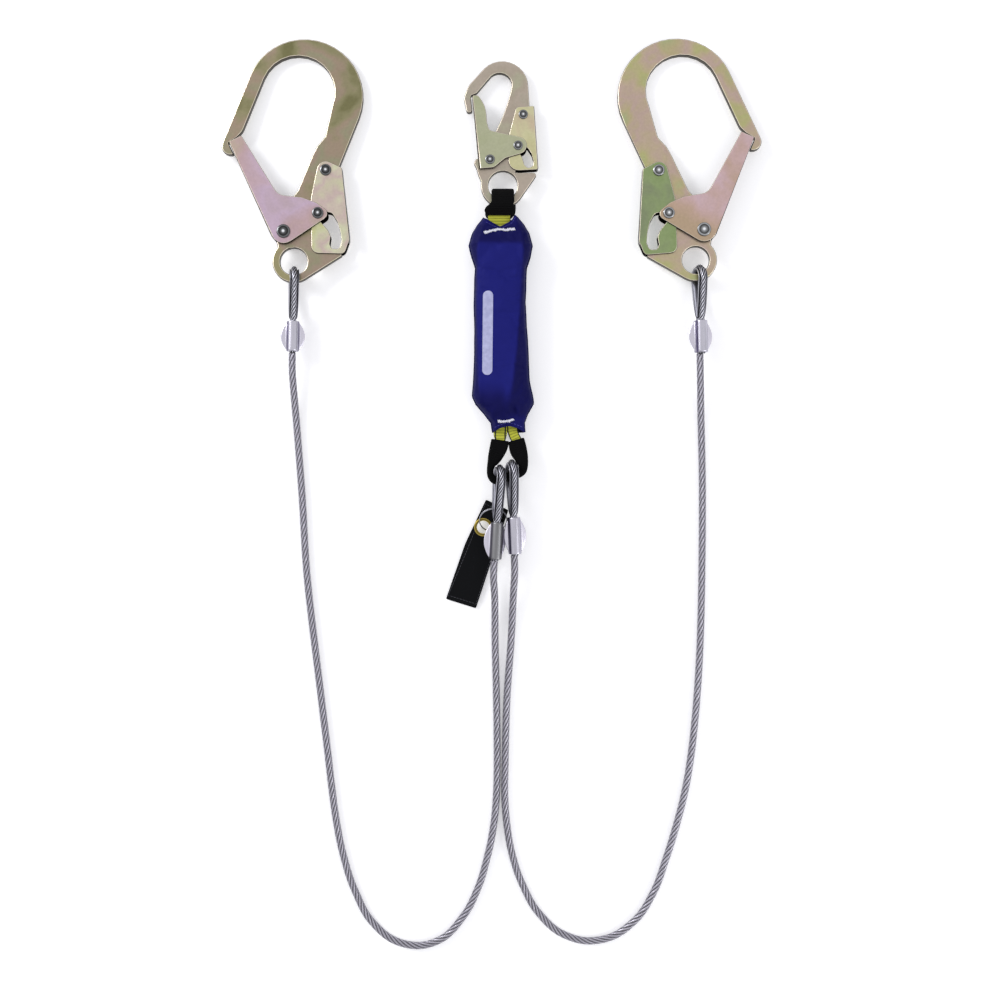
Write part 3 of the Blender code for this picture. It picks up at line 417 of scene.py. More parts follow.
def plated(name, film, patch, rough, shift, lean=None):
    """Passivated zinc that drifts through the film's colours, along a lean where one is given."""
    colours = [shade(*value) for value in film]
    material, tree, shader = new_finish(name, colours[0], metal=1.0, rough=rough)
    where = place_in(tree, turn=shift)
    drift = cloud(tree, vector_calc(tree, "ADD", where, (shift, 2 * shift, 0.0)), patch, 3.0, 0.3)
    if lean:
        start, per_x, per_y = lean
        spot = put(tree, "ShaderNodeSeparateXYZ", Vector=place_in(tree)).outputs
        slope = plus(tree, times(tree, spot["X"], per_x), times(tree, spot["Y"], per_y))
        drift = plus(tree, drift, plus(tree, slope, start))
    places = np.linspace(*FILM_SPREAD, len(colours))
    tint = ramp(tree, drift, *[(float(place), colour) for place, colour in zip(places, colours)])
    speck = cloud(tree, where, 420.0, 4.0)
    dust = ramp(tree, speck, (0.3, (0.55, 0.55, 0.55, 1.0)), (0.7, WHITE))
    dusty = blend(tree, 0.22, tint, dust, "MULTIPLY")
    # The cut walls and inside faces get their painted shade here.
    tree.links.new(paint_wall_shade(tree, dusty), shader.inputs["Base Color"])
    vary_gloss(tree, shader, cloud(tree, where, 60.0), rough - 0.08, rough + 0.14)
    bump(tree, shader, speck, 0.00006, 0.5)
    return material


FILMS = {
    # The left frame's range runs darker than the right frame's: partly the film, partly painted shade on the
    # left hook.
    "left_frame": ((152, 145, 110), (156, 138, 124), (146, 142, 118),
                   (154, 137, 120), (140, 135, 104), (118, 115, 82)),
    "right_frame": ((164, 172, 132), (176, 174, 124), (184, 168, 142),
                    (184, 162, 152), (180, 168, 132), (166, 172, 130)),
    "left_gate": ((182, 164, 152), (186, 160, 164), (188, 164, 174), (192, 170, 190), (184, 164, 174)),
    "right_gate": ((180, 158, 134), (188, 162, 146), (196, 168, 166), (204, 178, 188), (198, 172, 174)),
    "left_lock": ((192, 198, 154), (204, 204, 174), (196, 176, 172), (200, 200, 166), (188, 188, 132)),
    "right_lock": ((130, 150, 98), (140, 156, 112), (132, 142, 112), (150, 162, 112)),
    "snap_frame": ((170, 168, 146), (168, 157, 143), (174, 162, 150), (168, 160, 146), (166, 168, 142)),
    "snap_gate": ((166, 170, 138), (174, 176, 148), (168, 170, 142)),
    "snap_lock": ((196, 180, 152), (196, 192, 150), (202, 198, 160), (196, 178, 154)),
    # The bright film of the rounded edge strips is a painted highlight.
    "highlit_edge": ((240, 236, 214), (246, 232, 220), (236, 232, 202)),
}
# Each row: the noise's scale, the roughness, the noise's shift, and for some a lean, which is a
# start and then the change per metre of x and of y.
PLATE_LOOKS = {
    "left_frame": (20.0, 0.34, 5.2, (-0.08, 0.25, 0.9)),
    "left_gate": (18.0, 0.30, 0.7),
    "left_lock": (22.0, 0.30, 1.3),
    "right_frame": (22.0, 0.34, 0.9),
    "right_gate": (18.0, 0.30, 1.9, (-0.318, 0.0, 2.2)),
    "right_lock": (22.0, 0.30, 2.6),
    "snap_frame": (24.0, 0.38, 2.1),
    "snap_gate": (22.0, 0.34, 2.9),
    "snap_lock": (26.0, 0.30, 3.7),
    "highlit_edge": (60.0, 0.36, 4.4),
}
PLATE = {name: plated("plated_" + name, FILMS[name], *look) for name, look in PLATE_LOOKS.items()}
print(len(PLATE), "plated finishes mixed")

# %% [markdown]
# ## Hook plates
# Each hook is a flat plate with two folded leaves: a gate that closes the mouth and a lock that
# holds the gate's tail. The leaves were pressed from sheet, and their edges get a smaller rounding
# than the plate's. Every leaf turns on its own joint, and its copy rides on the same body.

# %% Dress the plates of the three hooks
HOOKS = {"snap": "small", "left": "large", "right": "large"}
FRAME_ROUNDING = {"large": 1.0 * MM, "small": 0.8 * MM}
LEAF_ROUNDING = 0.6 * MM
joint_of = {joint["child"]: joint for joint in frame["joints"]}


def spots_of(mesh):
    """The place of every point of a mesh, as an array."""
    return np.array([v.co for v in mesh.vertices])


def store(mesh, label, values):
    """Keep one number for every point of a mesh under a label."""
    kept = mesh.attributes.new(label, "FLOAT", "POINT")
    kept.data.foreach_set("value", np.array(values, np.float32))


def store_depth(piece, node, axis, rounding):
    """Keep how deep each point lies below the flat faces: 0 on them, 0.5 on a wall, 1 inside."""
    solid = spots_of(frame["nodes"][node].data) @ np.array(axis)
    along = spots_of(piece.data) @ np.array(axis)
    middle, half = (solid.max() + solid.min()) / 2, (solid.max() - solid.min()) / 2
    store(piece.data, "depth", np.clip((half - np.abs(along - middle)) / (2 * rounding), 0.0, 1.0))


def dress_plates(hook, size):
    """The frame, gate and lock of one hook, with rounded edges."""
    for part, body in (("frame", "hook"), ("gate", "gate"), ("lock", "lock")):
        node = f"{hook}_{part}"
        rounding = FRAME_ROUNDING[size] if part == "frame" else LEAF_ROUNDING
        piece = edged(node, node + "_plate", rounding, PLATE[node], PLATE["highlit_edge"], clamp=False)
        store_depth(piece, node, joint_of[hook + "_gate"]["axis"], rounding)
        settle(piece, f"{hook}_{body}", "zinc", node)


for hook, size in HOOKS.items():
    dress_plates(hook, size)
print("plates dressed:", ", ".join(HOOKS))

# %% [markdown]
# ## Rivets
# A hook has two rivets and a pin in the gate's tail, each with a domed head at both ends. A
# Geometry Nodes tree makes one from four sizes: a shaft, two short cylinders for the rims and
# two flattened spheres for the domes. The sizes are read from the solids, along each joint's
# axis, and the finished mesh is then turned into place.

# %% Build the rivet tree


def new_tree(name, sizes, has_source=True):
    """A Geometry Nodes tree with named number inputs, a finish input and a geometry output."""
    tree = bpy.data.node_groups.new(name, "GeometryNodeTree")
    if has_source:
        tree.interface.new_socket("Geometry", in_out="INPUT", socket_type="NodeSocketGeometry")
    for size, start in sizes.items():
        kind = "NodeSocketInt" if isinstance(start, int) else "NodeSocketFloat"
        tree.interface.new_socket(size, in_out="INPUT", socket_type=kind).default_value = start
    tree.interface.new_socket("Finish", in_out="INPUT", socket_type="NodeSocketMaterial")
    tree.interface.new_socket("Geometry", in_out="OUTPUT", socket_type="NodeSocketGeometry")
    return tree, tree.nodes.new("NodeGroupInput").outputs


def close_tree(tree, shape, finish):
    """Realize Instances and Set Material end every tree."""
    real = put(tree, "GeometryNodeRealizeInstances", Geometry=shape)
    smooth = put(tree, "GeometryNodeSetShadeSmooth", Geometry=real.outputs[0])
    painted = put(tree, "GeometryNodeSetMaterial", Geometry=smooth.outputs[0], Material=finish)
    out = tree.nodes.new("NodeGroupOutput")
    tree.links.new(painted.outputs[0], out.inputs["Geometry"])


def grow(source, tree, finish, **sizes):
    """The plain mesh that a tree makes from an object."""
    modifier = source.modifiers.new(tree.name, "NODES")
    modifier.node_group = tree
    wanted = {**{key.replace("_", " "): value for key, value in sizes.items()}, "Finish": finish}
    for item in tree.interface.items_tree:
        if item.in_out == "INPUT" and item.name in wanted:
            modifier[item.identifier] = wanted[item.name]
    return baked(source)


def rivet_tree():
    """A shaft with a rim and a dome at both of its ends."""
    sizes = {"Head Radius": 5.6 * MM, "Shaft Radius": 3.0 * MM,
             "Half Length": 10.0 * MM, "Head Height": 2.0 * MM}
    tree, size = new_tree("domed_rivet", sizes, has_source=False)
    rim = times(tree, size["Head Height"], 0.42)
    dome = minus(tree, size["Head Height"], rim)
    base = minus(tree, size["Half Length"], dome)
    middle = minus(tree, base, times(tree, rim, 0.5))
    squash = vector(tree, X=size["Head Radius"], Y=size["Head Radius"], Z=dome)
    shaft = put(tree, "GeometryNodeMeshCylinder", Vertices=24, Radius=size["Shaft Radius"],
                Depth=times(tree, size["Half Length"], 1.9))
    disc = put(tree, "GeometryNodeMeshCylinder", Vertices=48, Radius=size["Head Radius"], Depth=rim)
    ball = put(tree, "GeometryNodeMeshUVSphere", Segments=48, Rings=24, Radius=1.0)
    joined = tree.nodes.new("GeometryNodeJoinGeometry")
    tree.links.new(shaft.outputs["Mesh"], joined.inputs[0])
    for side in (1.0, -1.0):
        for shape, height, scale in ((disc, middle, (1.0, 1.0, 1.0)), (ball, base, squash)):
            moved = put(tree, "GeometryNodeTransform", Geometry=shape.outputs["Mesh"], Scale=scale,
                        Translation=vector(tree, Z=times(tree, height, side)))
            tree.links.new(moved.outputs[0], joined.inputs[0])
    close_tree(tree, joined.outputs[0], size["Finish"])
    return tree


RIVET_TREE = rivet_tree()
print(len(RIVET_TREE.nodes), "nodes in the rivet tree")

# %% Set a rivet on each pin


def steel_finish(name, colour, rough, scratches=90.0, painted_highlight=None):
    """Plain steel with faint turning marks, and a painted highlight where a stored share says so."""
    material, tree, shader = new_finish(name, colour, metal=1.0, rough=rough)
    where = place_in(tree)
    wear = cloud(tree, where, scratches, 4.0, 0.4)
    vary_gloss(tree, shader, wear, rough * 0.7, rough * 1.5)
    tint = ramp(tree, wear, (0.3, dimmed(colour, 0.72)), (0.65, colour))
    if painted_highlight:
        label, bright = painted_highlight
        tint = blend(tree, stored(tree, label), tint, bright)
    tree.links.new(tint, shader.inputs["Base Color"])
    bump(tree, shader, cloud(tree, where, 900.0), 0.00004, 0.4)
    return material


def rivet_finish(name, gain):
    """Domes with a painted highlight at the top and rings of painted reflection out to the rim, all the
    darker the smaller the gain.
    """
    material, tree, shader = new_finish(name, shade(120, 124, 140), metal=1.0, rough=0.26)
    wear = times(tree, minus(tree, cloud(tree, place_in(tree), 300.0, 4.0), 0.5), 0.14)
    # From the middle out: a painted highlight that no gain dims, then rings of painted dark and bright
    # reflection.
    greys = ((0.10, 242.0 / gain), (0.28, 150.0), (0.52, 98.0), (0.68, 56.0),
             (0.82, 172.0), (0.93, 136.0), (1.0, 50.0))
    shades = [(place, shade(grey * gain * 0.97, grey * gain * 0.98, grey * gain)) for place, grey in greys]
    tint = ramp(tree, plus(tree, stored(tree, "rim"), wear), *shades)
    tree.links.new(tint, shader.inputs["Base Color"])
    return material


# Painted light: each hook's rivets are darker or lighter for the light that hook gets, the left hook's
# darkest.
RIVET_PAINTED_LIGHT = {"snap": 0.85, "left": 0.66, "right": 1.0}
RIVET_STEEL = {hook: rivet_finish(hook + "_rivet_steel", gain) for hook, gain in RIVET_PAINTED_LIGHT.items()}
SPRING_STEEL = steel_finish("spring_steel", shade(158, 158, 166), 0.26)


def pin_sizes(node, axis):
    """Middle, half length and head radius of a pin, measured along its axis."""
    spots = spots_of(frame["nodes"][node].data)
    axis = np.array(axis)
    along = spots @ axis
    middle = spots.mean(axis=0)
    middle += axis * ((along.max() + along.min()) / 2 - middle @ axis)
    out = spots - middle
    radial = np.linalg.norm(out - np.outer(out @ axis, axis), axis=1)
    return Vector(middle), (along.max() - along.min()) / 2, radial.max()


def set_rivet(node, body, axis, shaft, head_height, steel):
    """A domed rivet of the solid pin's length and width, turned along its axis."""
    middle, half, radius = pin_sizes(node, axis)
    seed = new_piece(node + "_domed", bpy.data.meshes.new(node))
    rivet = grow(seed, RIVET_TREE, steel, Head_Radius=radius, Shaft_Radius=shaft, Half_Length=half,
                 Head_Height=head_height)
    store(rivet.data, "rim", [v.co.xy.length / radius for v in rivet.data.vertices])
    turn = Vector((0, 0, 1)).rotation_difference(Vector(axis)).to_matrix().to_4x4()
    rivet.data.transform(Matrix.Translation(middle) @ turn)
    rivet.data.set_sharp_from_angle(angle=math.radians(40))
    settle(rivet, body, "rivet", node)


SHAFT_AND_HEAD = {"large": (2.9 * MM, 2.1 * MM), "small": (2.3 * MM, 1.6 * MM)}
for hook, size in HOOKS.items():
    axis = joint_of[hook + "_gate"]["axis"]
    for pin, body in (("_gate_rivet", "_hook"), ("_lock_rivet", "_hook"), ("_tail_pin", "_gate")):
        set_rivet(hook + pin, hook + body, axis, *SHAFT_AND_HEAD[size], RIVET_STEEL[hook])
    for spring, body in (("_gate_spring", "_gate"), ("_lock_spring", "_hook")):
        coil = round_wire(hook + spring, hook + spring + "_wire", SPRING_STEEL)
        settle(coil, hook + body, "spring", hook + spring)
print("rivets and springs set")

# %% [markdown]
# ## Laid rope
# Seven strands wind round a core, and under the coat six thicker ones show. The tree takes a
# centre line, copies it once for each strand, moves every copy out from the line by an angle
# that grows with the length, and sweeps a small circle along it. It stores how far each point
# stands from the centre line, so that the finish can paint a highlight on the crowns and shade in
# the grooves, and how far round its strand the point is, which draws the single wires.

# %% Build the rope tree
ROPE = {
    "Strands": 7, "Strand Radius": 0.94 * MM, "Ring Radius": 2.02 * MM,
    "Lay": 31.0 * MM, "Step": 1.2 * MM, "Sides": 10,
}


def keep(tree, shape, label, value, kind="FLOAT"):
    """The shape with a value kept on each point under a label."""
    settings = {"domain": "POINT", "data_type": kind}
    made = put(tree, "GeometryNodeStoreNamedAttribute", settings, Geometry=shape, Name=label, Value=value)
    return made.outputs[0]


def rope_tree():
    """Strands wound round a centre line, with the values that the wire finish reads."""
    tree, size = new_tree("laid_rope", ROPE)
    even = put(tree, "GeometryNodeResampleCurve", {"mode": "LENGTH"}, Curve=size["Geometry"],
               Length=size["Step"])
    copies = put(tree, "GeometryNodeDuplicateElements", {"domain": "SPLINE"}, Geometry=even.outputs[0],
                 Amount=size["Strands"])
    along = put(tree, "GeometryNodeSplineParameter").outputs["Length"]
    start = calc(tree, "DIVIDE", copies.outputs["Duplicate Index"], size["Strands"])
    angle = times(tree, plus(tree, calc(tree, "DIVIDE", along, size["Lay"]), start), math.tau)
    normal = put(tree, "GeometryNodeInputNormal").outputs[0]
    side = vector_calc(tree, "CROSS_PRODUCT", put(tree, "GeometryNodeInputTangent").outputs[0], normal)
    out = vector_calc(tree, "ADD", vector_calc(tree, "SCALE", normal, Scale=calc(tree, "COSINE", angle)),
                      vector_calc(tree, "SCALE", side, Scale=calc(tree, "SINE", angle)))
    here = put(tree, "GeometryNodeInputPosition").outputs[0]
    centred = keep(tree, copies.outputs[0], "centre", here, "FLOAT_VECTOR")
    wound = put(tree, "GeometryNodeSetPosition", Geometry=centred,
                Offset=vector_calc(tree, "SCALE", out, Scale=size["Ring Radius"]))
    circle = put(tree, "GeometryNodeCurvePrimitiveCircle", Resolution=size["Sides"],
                 Radius=size["Strand Radius"])
    around = put(tree, "GeometryNodeSplineParameter").outputs["Factor"]
    swept = put(tree, "GeometryNodeCurveToMesh", Curve=keep(tree, wound.outputs[0], "along", along),
                Profile_Curve=keep(tree, circle.outputs[0], "around", around), Fill_Caps=True)
    centre = put(tree, "GeometryNodeInputNamedAttribute", {"data_type": "FLOAT_VECTOR"}, Name="centre")
    reach = put(tree, "ShaderNodeVectorMath", {"operation": "DISTANCE"}, i0=here,
                i1=centre.outputs["Attribute"])
    full_reach = plus(tree, size["Ring Radius"], size["Strand Radius"])
    crest = calc(tree, "DIVIDE", reach.outputs["Value"], full_reach)
    close_tree(tree, keep(tree, swept.outputs[0], "crest", crest), size["Finish"])
    return tree


ROPE_TREE = rope_tree()
print(len(ROPE_TREE.nodes), "nodes in the rope tree")


def line_object(name, spots, smooth=True):
    """A curve of one open spline through the points, in metres."""
    curve = bpy.data.curves.new(name, "CURVE")
    curve.dimensions = "3D"
    spline = curve.splines.new("BEZIER" if smooth else "POLY")
    places = spline.bezier_points if smooth else spline.points
    places.add(len(spots) - 1)
    for place, spot in zip(places, spots):
        place.co = spot if smooth else (*spot, 1.0)
        if smooth:
            place.handle_left_type = place.handle_right_type = "AUTO"
    item = bpy.data.objects.new(name, curve)
    bpy.context.scene.collection.objects.link(item)
    return item


# %% Mix the wire finishes
WIRES = 6.0
WIRE_LAY = 0.016
WIRE_SHARE = 0.03


def wire_finish(name, bright, dark, groove, crown):
    """Strands of fine wires, with a painted highlight on their crowns and painted shade in the grooves."""
    material, tree, shader = new_finish(name, bright, metal=1.0, rough=0.34)
    advance = calc(tree, "DIVIDE", stored(tree, "along"), WIRE_LAY)
    turns = plus(tree, times(tree, stored(tree, "around"), WIRES), advance)
    wires = ridges(tree, times(tree, turns, math.pi))
    fine = times(tree, minus(tree, wires, 0.6), WIRE_SHARE)
    # Painted shade in the grooves and painted highlight on the crowns, by each point's stored crest.
    tint = ramp(tree, plus(tree, stored(tree, "crest"), fine), (groove, dark), (crown, bright))
    tree.links.new(tint, shader.inputs["Base Color"])
    bump(tree, shader, wires, 0.0001, 0.3)
    return material


BARE_WIRE = wire_finish("bare_rope_wire", shade(174, 174, 184), shade(24, 24, 28), 0.92, 0.985)
COATED_WIRE = wire_finish("coated_rope_wire", shade(190, 187, 200), shade(66, 64, 72), 0.89, 0.975)
print("wire finishes mixed")

# %% [markdown]
# ## Cable eyes
# Each cable end turns back in an eye round a thimble, and a pressed ferrule grips both strands.
# The four eyes differ in place, turn and ferrule size. Their crown centre and ferrule centre
# are given in millimetres on the floor plan, and a matrix carries each eye there.

# %% State the four eyes
CROWN_RADIUS = 11.6
STRAND_OFFSET = 3.6
LOOP_ROLL = 12.0
EYES = {
    "left_pack": {"eye": (-0.8, -155.8), "ferrule": (-4.0, -217.5), "z": 17.2,
                  "length": 37.0, "wings": (12.4, 9.8)},
    "right_pack": {"eye": (11.8, -150.7), "ferrule": (14.2, -212.5), "z": 17.2,
                   "length": 37.0, "wings": (10.4, 12.2)},
    "left_hook": {"eye": (-205.4, 41.5), "ferrule": (-206.5, -14.0), "z": 14.6,
                  "length": 30.0, "wings": (12.0, 12.0)},
    "right_hook": {"eye": (198.6, 43.3), "ferrule": (200.1, -14.0), "z": 14.6,
                   "length": 32.0, "wings": (12.4, 12.0)},
}


def eye_place(spec):
    """The matrix of an eye: x across it, y towards its crown, z up the strands."""
    run = Vector(spec["eye"]) - Vector(spec["ferrule"])
    place = Matrix.Translation(Vector((*spec["eye"], spec["z"])) * MM)
    place = place @ Matrix.Rotation(math.atan2(-run.x, run.y), 4, "Z")
    return place @ Matrix.Rotation(math.radians(LOOP_ROLL), 4, "Y")


def grip(spec):
    """Where the ferrule starts and ends, in mm down the strands from the crown's centre."""
    reach = (Vector(spec["eye"]) - Vector(spec["ferrule"])).length
    return reach - spec["length"] / 2, reach + spec["length"] / 2


def eye_line(spec, lead, shares, steps=25):
    """A lead, one side at the given shares of it, the crown and back, in the eye's own plane."""
    near = grip(spec)[0]
    touch = math.acos(CROWN_RADIUS / math.hypot(near, STRAND_OFFSET))
    turn = math.pi - math.atan2(STRAND_OFFSET, near) - touch
    turns = np.linspace(turn, -turn, steps)
    crown = [(CROWN_RADIUS * math.cos(a), CROWN_RADIUS * math.sin(a)) for a in turns]
    start, end = np.array((-near, STRAND_OFFSET)), np.array(crown[0])
    side = lead + [tuple(start + (end - start) * share) for share in shares]
    return side + crown + [(a, -b) for a, b in reversed(side)]


for name, spec in EYES.items():
    near, far = grip(spec)
    print(f"{name}: ferrule {near:.1f} to {far:.1f} mm below the crown's centre")

# %% Lay the rope round each eye
LEG_OF = {name: name.split("_")[0] + "_leg" for name in EYES}


def rope_eye(name, spec):
    """The bare rope: out of the ferrule, round the crown and back into it."""
    near, far = grip(spec)
    lead = [(-far - 1.0, STRAND_OFFSET), (-near + 0.6, STRAND_OFFSET)]
    line = [Vector((0.0, a, b)) * MM for a, b in eye_line(spec, lead, (0.3, 0.65))]
    rope = grow(line_object(name + "_rope", line, smooth=False), ROPE_TREE, BARE_WIRE)
    rope.data.transform(eye_place(spec))
    settle(rope, LEG_OF[name], "cable", name + "_eye")


for name, spec in EYES.items():
    rope_eye(name, spec)
print("rope laid round", len(EYES), "eyes")

# %% [markdown]
# ## Thimbles and ferrules
# A thimble is a bent gutter of sheet that keeps the rope from kinking. It is a loft: the
# gutter's section is carried round the crown and down both sides, and it narrows towards
# each end. A ferrule is a sleeve that a press has squeezed, with thin flash on both sides. Its
# section is an oval that blends into the flash, whose reach follows a half wave.

# %% Loft through sections


def loft(name, rings, finish, caps=True):
    """A surface through closed rings of points in millimetres, faces out."""
    work = bmesh.new()
    rows = [[work.verts.new(Vector(p) * MM) for p in ring] for ring in rings]
    for low, high in zip(rows, rows[1:]):
        count = len(low)
        for n in range(count):
            work.faces.new((low[n], low[(n + 1) % count], high[(n + 1) % count], high[n]))
    if caps:
        work.faces.new(rows[0])
        work.faces.new(rows[-1])
    bmesh.ops.recalc_face_normals(work, faces=work.faces)
    mesh = bpy.data.meshes.new(name)
    work.to_mesh(mesh)
    work.free()
    mesh.shade_smooth()
    return new_piece(name, mesh, finish)


def thimble_section(outer, inner, spread, sides=9):
    """A gutter's section as (across, depth) pairs, with rounded lips."""
    turns = np.radians(np.linspace(-spread, spread, sides))
    shell = [(outer * math.sin(t), outer * math.cos(t)) for t in turns]
    hollow = [(inner * math.sin(t), inner * math.cos(t)) for t in reversed(turns)]
    return shell + hollow


# %% Make the thimbles and ferrules
# Painted highlight on the thimble's lips.
THIMBLE_LIP_HIGHLIGHT = ("lip", shade(196, 196, 204))
THIMBLE_STEEL = steel_finish("thimble_steel", shade(96, 96, 104), 0.34, 220.0, THIMBLE_LIP_HIGHLIGHT)
THIMBLE_SHARES = (0.05, 0.07, 0.12, 0.2, 0.32, 0.44, 0.56, 0.68, 0.80, 0.92)


def clamped(value):
    """The value, kept between 0 and 1."""
    return min(1.0, max(0.0, value))


def make_thimble(name, spec):
    """The gutter inside the rope's eye, narrower towards both ends, with a painted highlight on its lips."""
    track = eye_line(spec, [], THIMBLE_SHARES, 33)
    rings = []
    for n, (a, b) in enumerate(track):
        before, after = track[max(n - 1, 0)], track[min(n + 1, len(track) - 1)]
        run = Vector((after[0] - before[0], after[1] - before[1])).normalized()
        inward = Vector((run.y, -run.x))
        if inward.dot(Vector((a, b))) > 0:
            inward = -inward
        taper = min(1.0, 0.62 + 0.08 * min(n, len(track) - 1 - n))
        section = thimble_section(4.2 + 0.7 * taper, 3.55, 90.0 * taper)
        rings.append([(x, a + inward.x * depth, b + inward.y * depth) for x, depth in section])
    thimble = softened(loft(name + "_gutter", rings, THIMBLE_STEEL))
    # The share of painted highlight, on the lips.
    store(thimble.data, "lip", [clamped((abs(v.co.x) / MM - 4.2) / 0.5) for v in thimble.data.vertices])
    thimble.data.transform(eye_place(spec))
    settle(thimble, LEG_OF[name], "thimble", name + "_thimble")


FLASH_SHADE = shade(198, 195, 208)


def ferrule_finish(name, colour, rough, turn, groove):
    """Pressed light metal: fine marks along the sleeve, bands of painted dark reflection beside its core,
    pale flash.
    """
    material, tree, shader = new_finish(name, colour, metal=1.0, rough=rough)
    where = place_in(tree, turn, (1.0, 0.07, 1.0))
    lines = cloud(tree, where, 900.0, 3.0)
    vary_gloss(tree, shader, lines, rough * 0.7, rough * 1.5)
    tint = ramp(tree, cloud(tree, where, 240.0, 2.0), (0.3, dimmed(colour, 0.8)), (0.6, colour))
    tint = blend(tree, stored(tree, "band"), tint, groove)
    tint = blend(tree, stored(tree, "flash"), tint, FLASH_SHADE)
    tree.links.new(tint, shader.inputs["Base Color"])
    bump(tree, shader, lines, 0.00005, 0.5)
    return material


def ferrule_section(reach_left, reach_right, body):
    """Half of the section is built for each side: oval, fillet, flash and fillet again."""
    ring = []
    foot = 6.1 * body
    for sign, reach in ((1, reach_right), (-1, reach_left)):
        flash = max(reach, foot) - foot
        turns = np.radians(np.linspace(0, 84, 8))
        half = [(6.0 * body * math.sin(t), 2.5 + 6.0 * body * math.cos(t)) for t in turns]
        half += [(6.15 * body, 1.7), (foot + 0.16 * flash, 0.85), (foot + 0.6 * flash, 0.62),
                 (foot + flash, 0.4)]
        side = half + [(x, -z) for x, z in reversed(half)]
        ring += [(sign * x, z) for x, z in (side if sign == 1 else reversed(side))]
    kept = [spot for n, spot in enumerate(ring) if n == 0 or math.dist(spot, ring[n - 1]) > WELD]
    return kept[:-1] if math.dist(kept[0], kept[-1]) < WELD else kept


def hump(value, middle, width):
    """A soft bell: 1 at the middle, fading over the width."""
    return math.exp(-(((value - middle) / width) ** 2))


def make_ferrule(name, spec, colour, rough, groove):
    """The pressed sleeve, whose flash reaches furthest half way along it."""
    near, far = grip(spec)
    run = Vector(spec["eye"]) - Vector(spec["ferrule"])
    middle, half = (near + far) / 2, (far - near) / 2
    rings = []
    for share in (-1.0, -0.985, -0.95, *np.linspace(-0.9, 0.9, 25), 0.95, 0.985, 1.0):
        wing = math.cos(min(abs(share) / 0.96, 1.0) * math.pi / 2) ** 0.8
        left, right = [5.2 + (reach - 5.2) * wing for reach in spec["wings"]]
        body = 1.0 - 0.10 * max(0.0, abs(share) - 0.95) / 0.05
        rings.append([(x, -middle + share * half, z) for x, z in ferrule_section(left, right, body)])
    finish = ferrule_finish(name + "_light_metal", colour, rough, -math.atan2(-run.x, run.y), groove)
    ferrule = softened(loft(name + "_sleeve", rings, finish))
    aside = [abs(v.co.x) / MM for v in ferrule.data.vertices]
    # Where the painted dark reflection lies: on the slopes beside the core.
    store(ferrule.data, "band", [hump(x, 5.5, 0.75) for x in aside])
    store(ferrule.data, "flash", [clamped((x - 6.1) / 0.6) for x in aside])
    ferrule.data.transform(eye_place(spec))
    settle(ferrule, LEG_OF[name], "ferrule", name + "_ferrule")


for name, spec in EYES.items():
    make_thimble(name, spec)
    # The last colour of each is the painted dark reflection beside the core.
    if name == "left_pack":
        make_ferrule(name, spec, shade(122, 122, 125), 0.38, shade(62, 60, 70))
    else:
        make_ferrule(name, spec, shade(186, 184, 196), 0.26, shade(72, 64, 98))
print("thimbles and ferrules made")

# %% [markdown]
# ## Coated cables
# From ferrule to ferrule each leg is one free cord, laid on the floor in the photograph's long
# loop. The route repeats the solid's points, joined by the same smooth curve. The coat is a
# clear tube, a curve with a bevel. The rope tree winds the strands inside it, so they show
# through the coat. Each cord's own points stand closer together near its two ferrules.

# %% State the two routes
COATED_RADIUS = 3.8
CABLE_REST = 3.95
CABLE_FALL = 85.0
CABLE_POINTS = 40
CLOSER_AT_ENDS = 0.055
ROUTES = {
    "left": (
        (-205.7, -80.6), (-198.8, -173.0), (-193.7, -254.3), (-179.7, -374.9), (-171.8, -440.2),
        (-164.4, -499.4), (-150.2, -557.7), (-126.6, -602.9), (-96.6, -622.8), (-69.9, -622.8),
        (-46.6, -607.3), (-25.1, -573.8), (-10.0, -523.6), (-4.0, -479.4), (-2.9, -433.1),
        (-3.6, -374.9), (-5.0, -317.6), (-5.3, -275.0),
    ),
    "right": (
        (201.2, -80.6), (203.1, -146.9), (202.9, -237.3), (200.4, -333.7), (194.0, -415.1),
        (184.7, -474.0), (163.8, -545.8), (145.0, -587.7), (120.0, -611.5), (92.5, -619.8),
        (65.1, -613.8), (39.7, -592.8), (20.9, -559.4), (10.1, -523.6), (5.0, -479.4),
        (5.3, -433.1), (7.0, -374.9), (11.1, -318.6), (13.4, -270.0),
    ),
}


def cable_end(name):
    """Where the live strand leaves its ferrule, and a spot a little further on."""
    far = grip(EYES[name])[1]
    place = eye_place(EYES[name])
    return [place @ (Vector((0.0, -far - gone, -STRAND_OFFSET)) * MM) / MM for gone in (1.3, 15.0)]


def smooth_route(points, spacing=4.0):
    """A dense, smooth plan curve through the route points."""
    spots = [Vector(p) for p in points]
    spots = [2 * spots[0] - spots[1], *spots, 2 * spots[-1] - spots[-2]]
    dense = []
    for a, b, c, d in zip(spots, spots[1:], spots[2:], spots[3:]):
        count = max(2, round((c - b).length / spacing))
        lean_b = (c - a) * ((c - b).length / ((c - b).length + (b - a).length))
        lean_c = (d - b) * ((c - b).length / ((c - b).length + (d - c).length))
        for t in np.arange(count) / count:
            near = b * (2 * t**3 - 3 * t**2 + 1) + lean_b * (t**3 - 2 * t**2 + t)
            dense.append(near + c * (-2 * t**3 + 3 * t**2) + lean_c * (t**3 - t**2))
    return dense + [spots[-2]]


def lengths(path):
    """The way gone at each point of a path, starting from 0."""
    return np.concatenate([[0.0], np.cumsum([(b - a).length for a, b in zip(path, path[1:])])])


